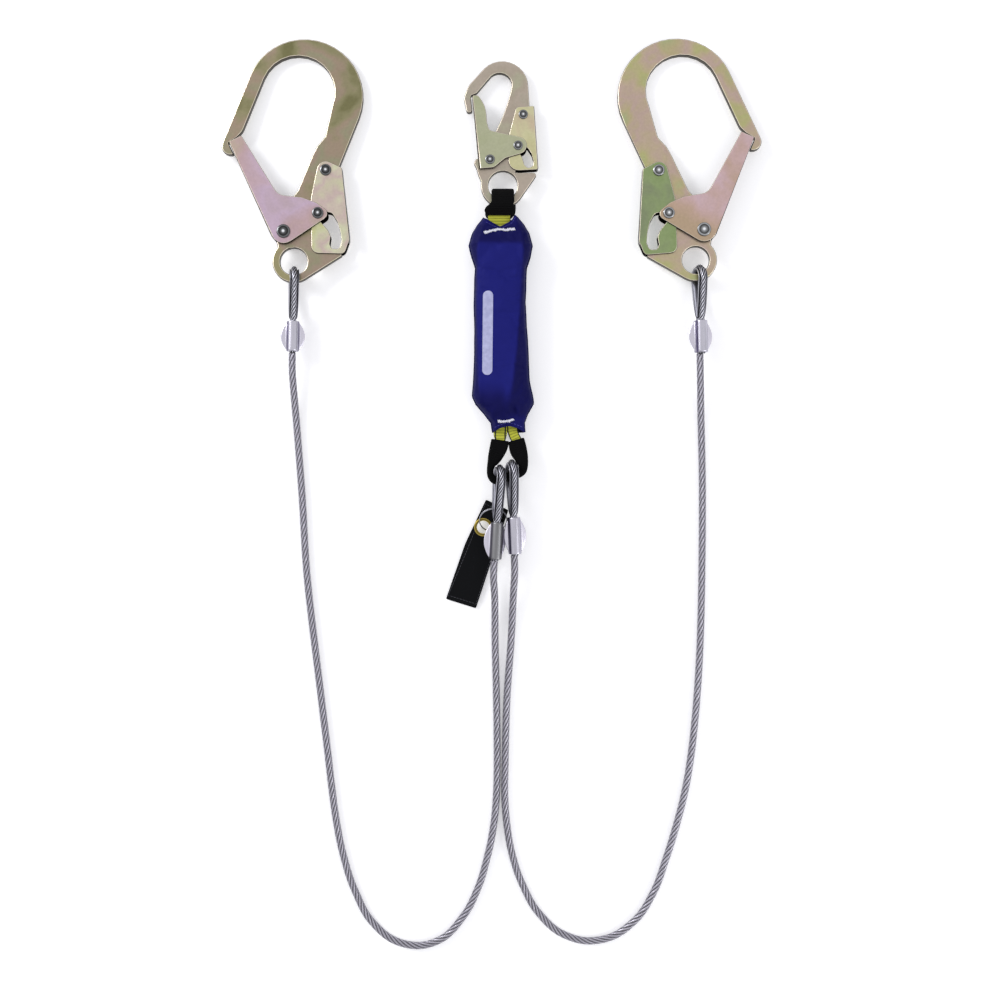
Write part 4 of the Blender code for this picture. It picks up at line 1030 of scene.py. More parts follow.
def cable_line(side):
    """The cord's points in metres: high at both ferrules, down on the floor between."""
    start, end = cable_end(side + "_hook"), cable_end(side + "_pack")
    plan = smooth_route([start[0].xy, start[1].xy, *ROUTES[side], end[1].xy, end[0].xy])
    gone = lengths(plan)
    share = np.clip(np.array([gone, gone[-1] - gone]) / CABLE_FALL, 0.0, 1.0)
    drop = 1 - share**2 * (3 - 2 * share)
    height = CABLE_REST + (start[0].z - CABLE_REST) * drop[0] + (end[0].z - CABLE_REST) * drop[1]
    table = np.column_stack([[p.x for p in plan], [p.y for p in plan], height])
    shares = np.linspace(0.0, 1.0, CABLE_POINTS)
    marks = gone[-1] * (shares - CLOSER_AT_ENDS * np.sin(math.tau * shares))
    return [Vector([np.interp(mark, gone, table[:, axis]) for axis in range(3)]) * MM for mark in marks]


for side, route in ROUTES.items():
    print(side, "route:", len(route), "points between its ferrules")

# %% Make the coats and the strands inside
COAT_SHADE = shade(156, 154, 164)
COAT, coat_tree, coat_shader = new_finish("clear_coat", COAT_SHADE, rough=0.16, Alpha=0.30, IOR=1.46)
bump(coat_tree, coat_shader, cloud(coat_tree, place_in(coat_tree), 130.0), 0.0002, 0.35)


def make_cable(side):
    """The coat of one leg with the strands inside it; its length is returned."""
    spots = cable_line(side)
    coat = line_object(side + "_cable_coat", spots)
    coat.data.bevel_depth = COATED_RADIUS * MM
    coat.data.bevel_resolution = 4
    coat.data.resolution_u = 16
    coat.data.use_fill_caps = True
    coat.data.materials.append(COAT)
    core = line_object(side + "_cable_strands", spots)
    strands = grow(core, ROPE_TREE, COATED_WIRE, Strands=6, Step=2.4 * MM, Lay=41.0 * MM, Sides=9,
                   Ring_Radius=2.32 * MM, Strand_Radius=1.14 * MM)
    settle(strands, side + "_leg", "cable")
    settle(coat, side + "_leg", "coated", side + "_cable")
    length = lengths(spots)[-1]
    return length


for side in ROUTES:
    print(side, "cable, points to points:", round(make_cable(side), 4), "m")

# %% [markdown]
# ## Webbing and wear sleeves
# Both loops are flat webbing inside a black woven sleeve. A band is a loft whose section has
# rounded corners. Every point stores how far along the band and how far across it lies, in
# metres, so that the weave's ribs and the black edge threads follow the band round its bends.

# %% Loft a band with its own coordinates
CORNERS = ((1, 1, 0), (-1, 1, 90), (-1, -1, 180), (1, -1, 270))
FINER = 4


def band_section(spot, along, across, half_width, half_thick):
    """Rounded corners and flat sides, with each point's place across the band."""
    normal = along.cross(across).normalized()
    soft = half_thick * 0.9
    flat = half_width - soft
    ring = []
    for sx, sz, start in CORNERS:
        for turn in np.radians(np.linspace(start, start + 90, 5)):
            x = sx * flat + soft * math.cos(turn)
            z = sz * (half_thick - soft) + soft * math.sin(turn)
            ring.append((spot + across * x + normal * z, x))
        if sx == sz:
            for x in sx * np.linspace(flat, -flat, 7)[1:-1]:
                ring.append((spot + across * x + normal * half_thick * sz, x))
    return ring


def finer(rows):
    """Rows of numbers with three smooth rows between each two."""
    rows = np.array(rows, float)
    padded = np.vstack([2 * rows[0] - rows[1], rows, 2 * rows[-1] - rows[-2]])
    made = []
    for a, b, c, d in zip(padded, padded[1:], padded[2:], padded[3:]):
        for t in np.arange(FINER) / FINER:
            bend = (2 * a - 5 * b + 4 * c - d) * t**2 + (3 * b - a - 3 * c + d) * t**3
            made.append(0.5 * (2 * b + (c - a) * t + bend))
    return np.vstack(made + [rows[-1]])


def band_rings(rows, across, half_thick, narrower=0.0):
    """Sections along rows of x, y, z and half width."""
    path = [Vector(row[:3]) for row in rows]
    rings = []
    for n, spot in enumerate(path):
        along = (path[min(n + 1, len(path) - 1)] - path[max(n - 1, 0)]).normalized()
        rings.append(band_section(spot, along, across(along), rows[n][3] - narrower, half_thick))
    return rings


def reshape(mesh, step):
    """Run a bmesh step on a mesh and turn its faces outwards."""
    work = bmesh.new()
    work.from_mesh(mesh)
    step(work)
    bmesh.ops.recalc_face_normals(work, faces=work.faces)
    work.to_mesh(mesh)
    work.free()


def join_rims(work):
    """Faces between the two open rims of a sleeve's wall."""
    bmesh.ops.bridge_loops(work, edges=[e for e in work.edges if e.is_boundary])


def make_band(name, rows, across, half_thick, finish, wall=0.0):
    """A solid band, or a sleeve where a wall is given, with its two weave coordinates stored."""
    rings, gone = band_rings(rows, across, half_thick), lengths([Vector(row[:3]) for row in rows])
    if wall:
        rings += band_rings(rows, across, half_thick - wall, wall)[::-1]
        gone = np.concatenate([gone, gone[::-1]])
    item = loft(name, [[spot for spot, _ in ring] for ring in rings], finish, caps=not wall)
    if wall:
        reshape(item.data, join_rims)
    store(item.data, "along", [way * MM for ring, way in zip(rings, gone) for _ in ring])
    store(item.data, "across", [x * MM for ring in rings for _, x in ring])
    item.data.shade_smooth()
    return item


flat_test = band_section(Vector(), Vector((0, 1, 0)), Vector((1, 0, 0)), 5.0, 1.0)
print(len(flat_test), "points in one section of a band")

# %% [markdown]
# ## Woven finishes
# Webbing shows ribs across its width and, on the yellow bands, a black thread near each edge.
# The sleeve is the same weave in black. All of them read the stored coordinates. The ribs are a
# sine along the band, broken up by a finer weave across it, and they drive both the relief and
# a slight painted shade in the grooves.

# %% Mix the woven finishes
YARN = 0.0012
EDGE_FROM, EDGE_TO = 0.0021, 0.0006


def woven(name, colour, groove, rib=0.0029, edge=None, half_width=0.0, gloss=0.4):
    """Ribs across a band, yarns along it, and a thread near each edge where one is given."""
    material, tree, shader = new_finish(name, colour, rough=0.72, Specular_IOR_Level=gloss,
                                        Sheen_Weight=0.1 * gloss)
    along, across = stored(tree, "along"), stored(tree, "across")
    drift = times(tree, minus(tree, cloud(tree, place_in(tree), 500.0, 3.0), 0.5), 0.9)
    ribs = ridges(tree, plus(tree, times(tree, along, math.pi / rib), drift))
    yarns = ridges(tree, plus(tree, times(tree, across, math.pi / YARN), drift))
    relief = plus(tree, times(tree, ribs, 0.65), times(tree, yarns, 0.35))
    # Painted shade in the grooves between ribs and yarns.
    tint = ramp(tree, relief, (0.15, groove), (0.55, colour))
    if edge:
        out = calc(tree, "ABSOLUTE", across)
        outside = calc(tree, "GREATER_THAN", out, half_width - EDGE_FROM)
        inside = calc(tree, "LESS_THAN", out, half_width - EDGE_TO)
        tint = blend(tree, times(tree, outside, inside), tint, edge)
    tree.links.new(tint, shader.inputs["Base Color"])
    bump(tree, shader, relief, 0.0005, 0.9)
    return material


YELLOW, YELLOW_GROOVE, EDGE_THREAD = shade(186, 188, 56), shade(88, 90, 12), shade(14, 16, 8)
UPPER_WEB = woven("yellow_webbing_wide", YELLOW, YELLOW_GROOVE, edge=EDGE_THREAD, half_width=0.0130)
LOWER_WEB = woven("yellow_webbing_narrow", YELLOW, YELLOW_GROOVE, edge=EDGE_THREAD, half_width=0.0062)
TEAR_WEB = woven("tear_webbing", shade(214, 210, 190), shade(150, 146, 128))
SLEEVE_WEAVE = woven("black_sleeve", shade(8, 8, 9), shade(2, 2, 3), rib=0.0022, gloss=0.05)
print("four woven finishes mixed")

# %% Make the upper loop, which holds the snap hook
SLEEVE_WALL = 0.9
WEB_INSET = 1.3
snap_rim = Vector(joint_of["snap_hook"]["pos_m"]) / MM


def upper_rows():
    """Centre line and half width: out of the pack, round the hook's eye and back."""
    y, z = snap_rim.y, snap_rim.z
    rows = [(-1.0, 62.0, 17.9, 11.3), (-1.0, 88.0, 17.9, 11.3), (-1.0, 98.0, 18.2, 11.3)]
    rows += [(-0.8, 106.0, 19.6, 13.0), (-0.2, 110.0, 21.6, 15.2), (0.4, 113.0, 23.2, 14.4)]
    rows += [(1.4, 115.8, 24.1, 12.2)]
    for turn in np.radians(np.linspace(90.0, 0.0, 7)):
        rows.append((2.8, y + 12.8 * math.cos(turn), z + 12.8 * math.sin(turn), 11.3))
    for turn, wide in ((22.0, 11.0), (45.0, 11.0), (68.0, 12.0), (90.0, 13.4)):
        angle = math.radians(turn)
        rows.append((2.5, y + 12.9 * math.cos(angle) ** 0.75, z - 7.4 * math.sin(angle) ** 0.9, wide))
    rows += [(1.0, 113.0, 4.4, 14.6), (0.0, 109.8, 5.2, 15.0), (-0.8, 106.5, 7.2, 13.0)]
    rows += [(-1.0, 102.0, 9.9, 11.3), (-1.0, 96.0, 11.7, 11.3)]
    rows += [(-1.0, 88.0, 12.1, 11.3), (-1.0, 62.0, 12.1, 11.3)]
    return rows


def make_loop(name, rows, covered, across, sleeve_half, web_half, web_wide, web_finish):
    """Webbing the whole way, and a sleeve over its covered rows."""
    first, last = covered
    web = [list(row) for row in rows]
    for row in web[first : last + 1]:
        row[3] = min(web_wide, row[3] - WEB_INSET)
    webbing = make_band(name + "_webbing_band", finer(web), across, web_half, web_finish)
    settle(webbing, "absorber_pack", "webbing", name + "_webbing")
    sleeved = finer(rows)[FINER * first : FINER * last + 1]
    sleeve = make_band(name + "_sleeve_tube", sleeved, across, sleeve_half, SLEEVE_WEAVE, SLEEVE_WALL)
    settle(sleeve, "absorber_pack", "sleeve", name + "_sleeve")


make_loop("upper", upper_rows(), (3, 20), lambda along: Vector((1, 0, 0)),
          sleeve_half=2.5, web_half=1.2, web_wide=13.0, web_finish=UPPER_WEB)
print("upper loop laid round the snap hook's rim at", [round(part, 1) for part in snap_rim], "mm")

# %% Make the lower loop, which holds both cable eyes
LOWER_ROWS = (
    (1.0, -72.5, 15.2, 5.6), (0.6, -104.0, 15.2, 6.6), (0.2, -112.0, 15.3, 6.6),
    (0.2, -117.5, 15.6, 8.8), (-1.2, -124.0, 16.0, 8.9), (-3.7, -131.0, 16.5, 7.9),
    (-6.3, -137.2, 17.0, 6.3), (-8.6, -142.0, 17.2, 4.2), (-9.8, -148.0, 17.2, 3.3),
    (-9.0, -153.2, 17.2, 3.5), (-5.8, -156.8, 17.2, 4.0), (-1.4, -157.2, 17.2, 4.1),
    (2.0, -156.0, 17.2, 4.1), (5.8, -154.4, 17.2, 4.1), (10.2, -152.4, 17.2, 4.1),
    (14.0, -151.4, 17.2, 4.1), (18.6, -150.8, 17.2, 4.2), (22.2, -147.6, 17.2, 4.4),
    (23.0, -142.0, 17.2, 5.0), (21.1, -135.0, 17.0, 7.1), (18.5, -128.0, 16.4, 8.6),
    (17.0, -121.0, 15.9, 8.4), (16.3, -117.2, 15.6, 7.7), (13.8, -112.0, 15.3, 5.2),
    (12.4, -104.0, 15.2, 5.2), (12.4, -72.5, 15.2, 5.2),
)
make_loop("lower", LOWER_ROWS, (3, 22), lambda along: Vector((0, 0, 1)).cross(along).normalized(),
          sleeve_half=3.1, web_half=1.8, web_wide=5.2, web_finish=LOWER_WEB)
tear_pack = edged("tear_webbing", "tear_webbing_stack", 0.3 * MM, TEAR_WEB, TEAR_WEB)
settle(tear_pack, "absorber_pack", "webbing", "tear_webbing")
print("lower loop and tear pack made")

# %% [markdown]
# ## The sewn cover
# A cloth tube wraps the tear pack. Its outline follows the solid's stations. Between them the
# cloth is drawn as a fine grid: a rounded section that swells a little between its seams, a V
# cut at the top, an arch at the bottom, and folds that run towards both bar tacks. A ridge runs
# down each side of the front panel, and painted light makes the panel lighter than the sloping
# sides and both ends, which carry painted shade.

# %% State the cover's stations
COVER = np.array([
    (104.0, -15.6, 16.0, 5.0, 22.6), (96.0, -22.0, 23.0, 1.4, 25.8), (88.0, -26.3, 28.0, 0.0, 28.0),
    (76.0, -29.8, 31.2, 0.0, 29.5), (65.0, -27.2, 29.2, 0.0, 29.5), (54.0, -23.6, 25.4, 0.0, 29.6),
    (20.0, -24.6, 24.2, 0.0, 30.0), (-27.0, -24.0, 26.6, 0.0, 30.0), (-58.0, -25.5, 28.0, 0.0, 29.6),
    (-74.0, -26.6, 31.4, 0.0, 29.0), (-81.0, -23.6, 32.2, 0.0, 28.0), (-91.0, -14.6, 26.6, 0.6, 25.2),
    (-100.0, -7.8, 23.4, 3.4, 22.6), (-109.5, -6.6, 23.8, 5.0, 21.4),
])[::-1]
COVER_TOP, COVER_LOW = 104.0, -109.5
COVER_SWELL = 0.35
COVER_WALL = 1.2


def station(y):
    """Left, right, low and high of the cover at one place along it."""
    return [float(np.interp(y, COVER[:, 0], COVER[:, n])) for n in (1, 2, 3, 4)]


def fade(value, start, end):
    """A smooth step from 0 at start to 1 at end."""
    share = clamped((value - start) / (end - start))
    return share * share * (3 - 2 * share)


print("the cover is", COVER_TOP - COVER_LOW, "mm long")

# %% Draw the cloth
RIDGE_RIGHT = ((-100, -81, -58, -27, 20, 70, 88, 104),
               (9.0, 9.8, 12.4, 16.4, 20.4, 23.2, 18.0, 12.0))
RIDGE_LEFT = ((-100, -81, -58, 20, 60, 70, 88, 104),
              (-4.0, -19.0, -21.0, -22.4, -21.6, -21.8, -19.0, -13.0))


def ridges_at(y):
    """Where the front panel ends on the left and on the right."""
    return float(np.interp(y, *RIDGE_LEFT)), float(np.interp(y, *RIDGE_RIGHT))


def top_cut(x, aside):
    """How far the V cut lowers the front's top edge, by the share aside of the middle."""
    return -10.2 * (1 - 0.85 * aside) + 6.0 * fade(x, 11.0, 17.0)


def low_arch(aside):
    """How far the arch lifts the front's bottom edge, by the share aside of the middle."""
    return 5.6 * (1 - 0.9 * aside**1.5)


def plain_ring(centre_x, centre_z, half_x, half_z):
    """A section with rounded corners, as x and z."""
    soft = min(half_x, half_z) * 0.72
    ring = []
    for sx, sz, start in CORNERS:
        for turn in np.radians(np.linspace(start, start + 90, 13)):
            x, z = soft * math.cos(turn), soft * math.sin(turn)
            ring.append((centre_x + sx * (half_x - soft) + x, centre_z + sz * (half_z - soft) + z))
        if sx == sz:
            run = np.linspace(half_x - soft, soft - half_x, 18)[1:-1]
            ring += [(centre_x + sx * x, centre_z + sz * half_z) for x in run]
        else:
            run = np.linspace(soft - half_z, half_z - soft, 8)[1:-1]
            ring += [(centre_x + sx * half_x, centre_z - sx * z) for z in run]
    return ring


def wrinkle(x, y, z):
    """A slow and a quick unevenness of the cloth."""
    slow = noise.noise(Vector((x, y * 0.6, z)) / 11.0)
    quick = noise.noise(Vector((x, y, z)) / 4.3)
    return slow * 0.40 + quick * 0.10


def cover_ring(y):
    """One closed section of the cloth, with folds near its gathered ends."""
    left, right, low, high = station(y)
    half_x, half_z = (right - left) / 2 + COVER_SWELL, (high - low) / 2 + COVER_SWELL
    centre_x, centre_z = (right + left) / 2, (high + low) / 2 + COVER_SWELL
    ridge_left, ridge_right = ridges_at(y)
    gathered = max(fade(y, 74.0, 98.0), fade(y, -76.0, -98.0))
    edge_top, edge_low = fade(y, 92.0, COVER_TOP), fade(y, -99.0, COVER_LOW)
    slumped = fade(y, 0.0, -50.0) * fade(y, -104.0, -80.0)
    spots = []
    for x, z in plain_ring(centre_x, centre_z, half_x, half_z):
        lift = max(0.0, (z - centre_z) / half_z)
        aside = abs(x - centre_x) / half_x
        shift = lift * (top_cut(x, aside) * edge_top + low_arch(aside) * edge_low)
        angle = math.atan2(z - centre_z, x - centre_x)
        folds = 0.45 * gathered * math.sin(9 * angle + 1.3 * math.sin(y / 7.0)) * (0.4 + 0.6 * lift)
        out = folds + wrinkle(x, y, z)
        ridge = 0.7 * (hump(x, ridge_right, 3.0) + hump(x, ridge_left, 3.0))
        slump = -1.5 * fade(x, ridge_right + 2, ridge_right + 9) * slumped
        pinch = -3.4 * hump(x, 13.6 - 0.22 * (y + 88), 2.6) * hump(y, -88.5, 5.2)
        height = z + out * math.sin(angle) + fade(z, centre_z, high) * (ridge + slump + pinch)
        spots.append((x + out * math.cos(angle), y + shift, max(0.02, height)))
    return spots


print(len(cover_ring(0.0)), "points in one section of the cover")

# %% Mix the cover's cloth
PILL_TOP, PILL_LOW, PILL_HALF = 0.0241, -0.0489, 0.0050
PILL_MIDDLE, PILL_LEAN = -0.0118, -0.010
COVER_YARN = 0.0007


def cover_cloth():
    """Blue coated cloth: a fine weave, sides in painted shade, and a blank pale label."""
    blue = shade(30, 30, 116)
    material, tree, shader = new_finish("royal_blue_cloth", blue, rough=0.6, Specular_IOR_Level=0.08)
    where = put(tree, "ShaderNodeTexCoord").outputs["Object"]
    spot = put(tree, "ShaderNodeSeparateXYZ", Vector=where).outputs
    # Painted light and shade from the stored share: dark navy in shade, royal blue where lit.
    cloth = ramp(tree, stored(tree, "painted_light"), (0.0, shade(10, 10, 54)), (0.5, shade(19, 19, 88)),
                 (1.0, shade(28, 31, 116)))
    grime = ramp(tree, cloud(tree, where, 90.0, 4.0), (0.3, (0.7, 0.7, 0.74, 1.0)), (0.7, WHITE))
    mottled = blend(tree, 0.3, cloth, grime, "MULTIPLY")
    weft, warp = [calc(tree, "SINE", times(tree, spot[axis], math.tau / COVER_YARN)) for axis in "XY"]
    middle = plus(tree, PILL_MIDDLE, times(tree, minus(tree, PILL_TOP, spot["Y"]), PILL_LEAN))
    nearest = calc(tree, "MINIMUM", calc(tree, "MAXIMUM", spot["Y"], PILL_LOW), PILL_TOP)
    aside = calc(tree, "POWER", minus(tree, spot["X"], middle), 2.0)
    past = calc(tree, "POWER", minus(tree, spot["Y"], nearest), 2.0)
    away = calc(tree, "SQRT", plus(tree, aside, past))
    on_top = calc(tree, "GREATER_THAN", spot["Z"], 0.02)
    inside = times(tree, calc(tree, "LESS_THAN", away, PILL_HALF), on_top)
    pale = ramp(tree, cloud(tree, where, 260.0, 4.0), (0.3, shade(166, 168, 206)),
                (0.7, shade(188, 190, 224)))
    tree.links.new(blend(tree, inside, mottled, pale), shader.inputs["Base Color"])
    crease = cloud(tree, place_in(tree, 0.3, (1.0, 0.45, 1.0)), 70.0, 4.0, 0.8)
    weave = times(tree, weft, warp)
    bump(tree, shader, plus(tree, crease, times(tree, weave, 0.10)), 0.0009, 0.5)
    return material


CLOTH = cover_cloth()
print("cover's cloth mixed, with a label of", round((PILL_TOP - PILL_LOW + 2 * PILL_HALF) / MM), "mm")

# %% Sew the cover
CLOTH_SLACK = -0.035
CLOTH_PRESSURE = 2.0
CLOTH_FRAMES = 20
CLOTH_CAP = 2.0


def cover_painted_light(x, y, z):
    """How much painted light the cloth gets: the front panel is lit, sides and both ends are in painted
    shade.
    """
    low, high = station(y)[2:]
    ridge_left, ridge_right = ridges_at(y)
    front = fade(z, (low + high) / 2 + 2, high - 2)
    panel = fade(x, ridge_left - 2.5, ridge_left + 1.0) * fade(x, ridge_right + 2.0, ridge_right - 2.0)
    ends = fade(y, 80.0, 74.0) * fade(y, -82.0, -58.0)
    flap = fade(y, 93.0, 98.0) * 0.3 + 0.5 * fade(y, -90.0, -98.0) * fade(x, 6.0, 16.0)
    # A strip of painted highlight beside the right ridge.
    pale = 0.30 * hump(x, ridge_right - 4, 3.5) * fade(y, -20.0, -60.0) * fade(y, -90.0, -70.0)
    return clamped(0.24 + front * (0.62 * panel * ends + pale + 0.10 + flap * 0.6))


def fill_cover(item):
    """Cloth under light pressure: it buckles up to the cap, held at both ends and at its sides."""
    start = spots_of(item.data)
    held = item.vertex_groups.new(name="held")
    for n, (x, y, z) in enumerate(start / MM):
        left, right = station(y)[:2]
        aside = abs(x - (left + right) / 2) / ((right - left) / 2)
        ends = max(fade(y, 86.0, 94.0), fade(y, -94.0, -101.0))
        weight = max(ends, fade(z, 17.0, 3.0), fade(aside, 0.78, 0.94))
        held.add([n], weight, "REPLACE")
    cloth = item.modifiers.new("cloth", "CLOTH")
    rules = cloth.settings
    rules.quality = 6
    rules.mass = 0.12
    rules.tension_stiffness = rules.compression_stiffness = 12.0
    rules.shear_stiffness = 6.0
    rules.bending_stiffness = 0.12
    rules.shrink_min = rules.shrink_max = CLOTH_SLACK
    rules.use_pressure = True
    rules.uniform_pressure_force = CLOTH_PRESSURE
    rules.vertex_group_mass = "held"
    rules.effector_weights.gravity = 0.0
    cloth.collision_settings.use_collision = False
    cloth.point_cache.frame_start, cloth.point_cache.frame_end = 1, CLOTH_FRAMES
    for moment in range(1, CLOTH_FRAMES + 1):
        bpy.context.scene.frame_set(moment)
    shape = item.evaluated_get(bpy.context.evaluated_depsgraph_get()).data
    moved = spots_of(shape) - start
    item.modifiers.clear()
    item.vertex_groups.clear()
    bpy.context.scene.frame_set(1)
    reach = np.linalg.norm(moved, axis=1)
    cap = CLOTH_CAP * MM
    moved *= (cap * np.tanh(reach / cap) / np.maximum(reach, 1e-9))[:, None]
    end = start + moved
    end[:, 2] = np.maximum(end[:, 2], np.minimum(start[:, 2], 0.1 * MM))
    item.data.vertices.foreach_set("co", end.astype(np.float32).ravel())
    item.data.update()
    print("cloth pushed", round(float(reach.mean()) / MM, 2), "mm on average; the cap is", CLOTH_CAP)


def sew_cover():
    """The outer cloth, its wall and its painted light."""
    ends = {*np.linspace(COVER_LOW, -96.0, 14), *np.linspace(92.0, COVER_TOP, 13)}
    rings = [cover_ring(float(y)) for y in sorted(ends | {*np.linspace(-96.0, 92.0, 116)})]
    item = loft("cover_cloth", rings, CLOTH, caps=False)
    store(item.data, "painted_light", [cover_painted_light(*(v.co / MM)) for v in item.data.vertices])
    fill_cover(item)
    wall = item.modifiers.new("wall", "SOLIDIFY")
    wall.thickness = COVER_WALL * MM
    wall.offset = -1.0
    item = baked(item)
    item.data.shade_smooth()
    return item


cover = settle(sew_cover(), "absorber_pack", "cover", "cover")
print("cover sewn:", len(cover.data.polygons), "faces")

# %% [markdown]
# ## Bar tacks and stitches
# A bar tack is a dense zigzag of thick thread. Its tree turns a line into a zigzag: it sets a
# point at every half stitch, moves every second one across, rounds the turns with a Catmull-Rom
# curve and sweeps a thread along it. Another tree sets short stitches along a line, each a
# bowed piece of thread that follows the line's direction.

# %% Build the two thread trees


def zigzag_tree():
    """A thread that swings from side to side of its line, a little unevenly."""
    tree, size = new_tree("zigzag_thread", {"Pitch": 1.5 * MM, "Swing": 1.25 * MM, "Thread": 0.46 * MM})
    even = put(tree, "GeometryNodeResampleCurve", {"mode": "LENGTH"}, Curve=size["Geometry"],
               Length=times(tree, size["Pitch"], 0.5))
    index = put(tree, "GeometryNodeInputIndex").outputs[0]
    swing = minus(tree, times(tree, calc(tree, "MODULO", index, 2.0), 2.0), 1.0)
    tangent = put(tree, "GeometryNodeInputTangent").outputs[0]
    side = vector_calc(tree, "CROSS_PRODUCT", tangent, (0.0, 0.0, 1.0))
    ragged = put(tree, "FunctionNodeRandomValue", {"data_type": "FLOAT"}, i2=0.45, i3=1.25, ID=index)
    reach = times(tree, times(tree, swing, size["Swing"]), ragged.outputs[1])
    moved = put(tree, "GeometryNodeSetPosition", Geometry=even.outputs[0],
                Offset=vector_calc(tree, "SCALE", side, Scale=reach))
    turned = put(tree, "GeometryNodeCurveSplineType", {"spline_type": "CATMULL_ROM"}, Curve=moved.outputs[0])
    fine = put(tree, "GeometryNodeSetSplineResolution", Geometry=turned.outputs[0], Resolution=4)
    circle = put(tree, "GeometryNodeCurvePrimitiveCircle", Resolution=8, Radius=size["Thread"])
    swept = put(tree, "GeometryNodeCurveToMesh", Curve=fine.outputs[0], Profile_Curve=circle.outputs[0],
                Fill_Caps=True)
    close_tree(tree, swept.outputs[0], size["Finish"])
    return tree


def stitch_tree():
    """A row of short bowed threads along a line."""
    tree, size = new_tree("stitch_row", {"Pitch": 3.2 * MM, "Stitch": 2.3 * MM, "Thread": 0.28 * MM})
    spots = put(tree, "GeometryNodeCurveToPoints", {"mode": "LENGTH"}, Curve=size["Geometry"],
                Length=size["Pitch"])
    half = times(tree, size["Stitch"], 0.5)
    line = put(tree, "GeometryNodeCurveQuadraticBezier", Resolution=6,
               Start=vector(tree, Z=times(tree, half, -1.0)), End=vector(tree, Z=half),
               Middle=vector(tree, X=times(tree, size["Thread"], 1.1)))
    circle = put(tree, "GeometryNodeCurvePrimitiveCircle", Resolution=6, Radius=size["Thread"])
    thread = put(tree, "GeometryNodeCurveToMesh", Curve=line.outputs[0], Profile_Curve=circle.outputs[0],
                 Fill_Caps=True)
    laid = put(tree, "GeometryNodeInstanceOnPoints", Points=spots.outputs["Points"],
               Instance=thread.outputs[0], Rotation=spots.outputs["Rotation"])
    close_tree(tree, laid.outputs[0], size["Finish"])
    return tree


ZIGZAG_TREE, STITCH_TREE = zigzag_tree(), stitch_tree()
WHITE_THREAD = new_finish("white_thread", shade(226, 226, 238), rough=0.55, Sheen_Weight=0.2)[0]
BLUE_THREAD = new_finish("blue_thread", shade(58, 56, 150), rough=0.55)[0]
DARK_THREAD = new_finish("dark_thread", shade(52, 52, 60), rough=0.6)[0]
print("two thread trees and three threads made")

# %% Sew the bar tacks
RAY_START = 0.06


def surface_of(item):
    """A tree that finds where a ray meets the object."""
    mesh = item.data
    return BVHTree.FromPolygons([v.co for v in mesh.vertices], [tuple(p.vertices) for p in mesh.polygons])


def dropped(surface, x, y):
    """Where a plan point in millimetres lands on a surface from above, if it does."""
    return surface.ray_cast(Vector((x * MM, y * MM, RAY_START)), Vector((0, 0, -1)))[0]


cover_surface = surface_of(cover)


def on_cover(x, y, gap=0.4):
    """A spot just above the cover's top, in metres."""
    hit = dropped(cover_surface, x, y)
    top = hit.z if hit else station(y)[3] * MM
    return Vector((x * MM, y * MM, top + gap * MM))


def fine_line(points, spacing=1.5):
    """Points along straight runs between plan points."""
    spots = []
    for a, b in zip(np.array(points), np.array(points[1:])):
        count = max(1, round(math.dist(a, b) / spacing))
        spots += [tuple(a + (b - a) * n / count) for n in range(count)]
    return spots + [tuple(points[-1])]


BARTACKS = {
    "upper_bartack": ((-15.5, 86.4), (-6.4, 89.0), (-1.9, 90.2), (5.0, 89.3), (14.6, 90.4)),
    "lower_bartack": ((-2.0, -99.0), (3.5, -99.4), (9.0, -98.8), (13.6, -97.2)),
}
for name, points in BARTACKS.items():
    line = line_object(name + "_zigzag", [on_cover(x, y) for x, y in fine_line(points)], smooth=False)
    settle(grow(line, ZIGZAG_TREE, WHITE_THREAD), "absorber_pack", "thread", name)
print("bar tacks sewn")

# %% Stitch the cover's hems
HEM = 3.4


def hem_rows():
    """Two rows of stitches: along the V cut at the top and along the arch at the bottom."""
    above, below = [], []
    for x in np.linspace(-13.0, 14.5, 23):
        above.append((x, COVER_TOP + top_cut(x, abs(x - 0.2) / 15.8) - HEM))
    for x in np.linspace(-4.4, 21.0, 21):
        below.append((x, COVER_LOW + low_arch(abs(x - 8.6) / 15.2) + HEM))
    return {"upper_hem": above, "lower_hem": below}


for name, points in hem_rows().items():
    line = line_object(name + "_stitches", [on_cover(x, y, 0.1) for x, y in points], smooth=False)
    settle(grow(line, STITCH_TREE, BLUE_THREAD), "absorber_pack", "thread")
print("hems stitched")

# %% [markdown]
# ## Tag, grommet and split ring
# The tag is a stiff black label with a brass grommet. It hangs on the split ring, which passes
# round the left cable. The tag is stitched near its edge. Nothing is printed on it.

# %% Dress the tag and its ring
TAG_TURN = -21.9
TAG_PITCH = 2.7
TAG_INSET = 4.6
TAG_CORNERS = ((-14.0, -176.5), (-35.1, -220.9), (-54.4, -276.6), (-24.2, -286.0), (8.5, -187.0))
GROMMET_PROFILE = (
    (6.4, 0.95), (6.55, 1.2), (6.7, 1.32), (6.9, 1.4), (7.2, 1.46), (7.8, 1.5), (8.4, 1.44),
    (8.7, 1.35), (8.9, 1.27), (9.15, 1.15), (9.3, 0.95), (9.3, 0.85), (7.0, 0.85),
)

TAG_SHADE = shade(6, 7, 10)
TAG_BLACK, tag_tree, tag_shader = new_finish("black_tag", TAG_SHADE, rough=0.5, Specular_IOR_Level=0.08)
bump(tag_tree, tag_shader, cloud(tag_tree, place_in(tag_tree), 380.0, 4.0), 0.00025, 0.6)
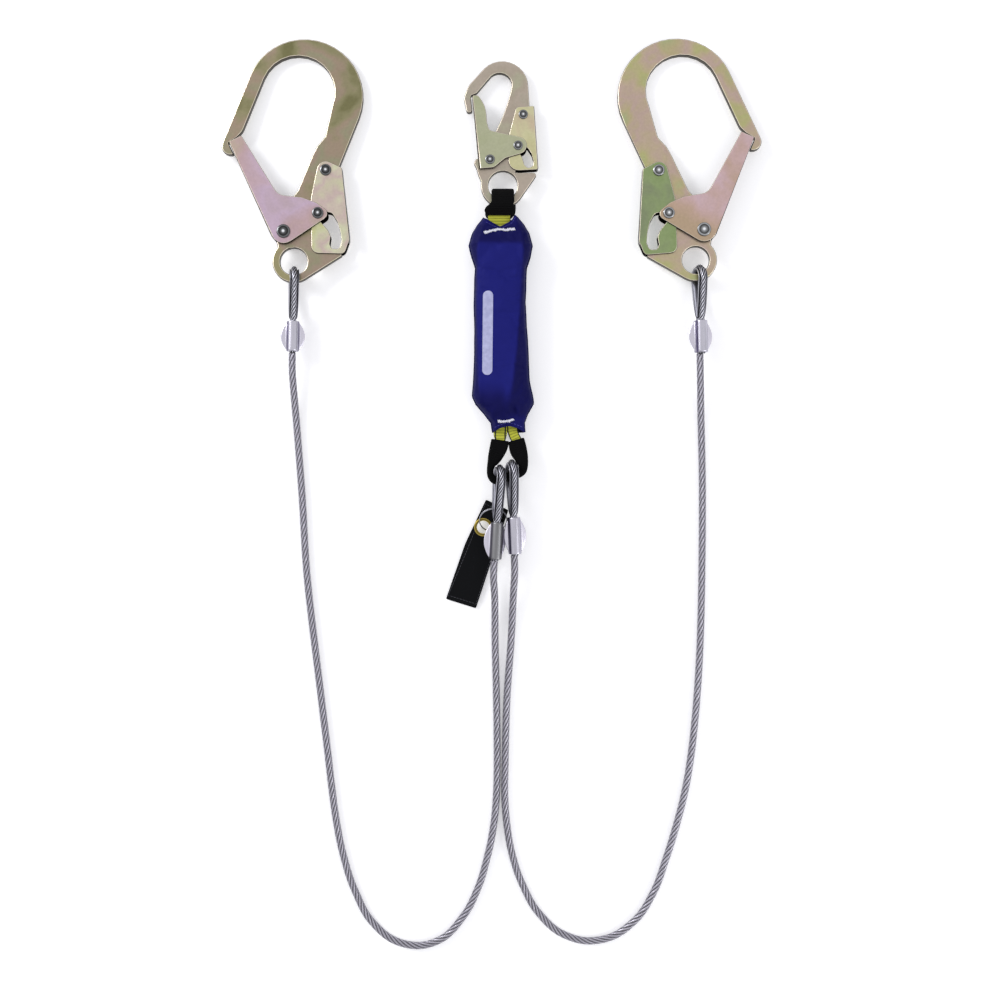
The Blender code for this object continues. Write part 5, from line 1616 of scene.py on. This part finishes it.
# Painted highlights on the grommet's rolled lips.
BRASS = steel_finish("brass_with_lip_highlight", shade(104, 90, 40), 0.28, 160.0, ("lip", shade(206, 184, 96)))
tag_leaf = settle(edged("tag", "tag_leaf", 0.25 * MM, TAG_BLACK, TAG_BLACK), "tag", "sleeve", "tag")


def weld(work):
    """Join points that lie on each other."""
    bmesh.ops.remove_doubles(work, verts=work.verts, dist=WELD)


def make_grommet():
    """A rolled brass ring, turned about the tag's eye and tilted with the tag."""
    solid = spots_of(frame["nodes"]["grommet"].data) / MM
    middle = Vector((solid.min(axis=0) + solid.max(axis=0)) / 2)
    profile = GROMMET_PROFILE + tuple((r, -z) for r, z in reversed(GROMMET_PROFILE))
    place = Matrix.Translation(middle) @ Matrix.Rotation(math.radians(TAG_TURN), 4, "Z")
    place = place @ Matrix.Rotation(math.radians(TAG_PITCH), 4, "X")
    rings = []
    for turn in np.linspace(0.0, math.tau, 72, endpoint=False):
        rings.append([place @ Vector((r * math.cos(turn), r * math.sin(turn), z)) for r, z in profile])
    item = loft("grommet_turned", rings + rings[:1], BRASS, caps=False)
    reshape(item.data, weld)
    reach = [(v.co / MM - middle).length for v in item.data.vertices]
    # Where the painted highlight lies: along the two rolled rims.
    store(item.data, "lip", [clamped(hump(r, 6.7, 0.35) + 0.7 * hump(r, 8.8, 0.3)) for r in reach])
    item.data.shade_smooth()
    return item


settle(make_grommet(), "tag", "brass", "grommet")
split_ring = round_wire("split_ring", "split_ring_wire", SPRING_STEEL, levels=2)
settle(split_ring, "left_leg", "spring", "split_ring")
tag_surface = surface_of(tag_leaf)


def tag_rows():
    """A row of stitches just inside the tag's edges, on its top."""
    corners = [Vector(c) for c in TAG_CORNERS]
    middle = sum(corners, Vector((0.0, 0.0))) / len(corners)
    inside = [c + (middle - c).normalized() * TAG_INSET for c in corners]
    spots = []
    for x, y in fine_line([tuple(c) for c in inside + inside[:1]], 3.0):
        hit = dropped(tag_surface, x, y)
        if hit:
            spots.append(hit + Vector((0, 0, 0.05 * MM)))
    return spots


tag_line = line_object("tag_stitches", tag_rows(), smooth=False)
settle(grow(tag_line, STITCH_TREE, DARK_THREAD), "tag", "thread")
print("tag, grommet and split ring dressed")
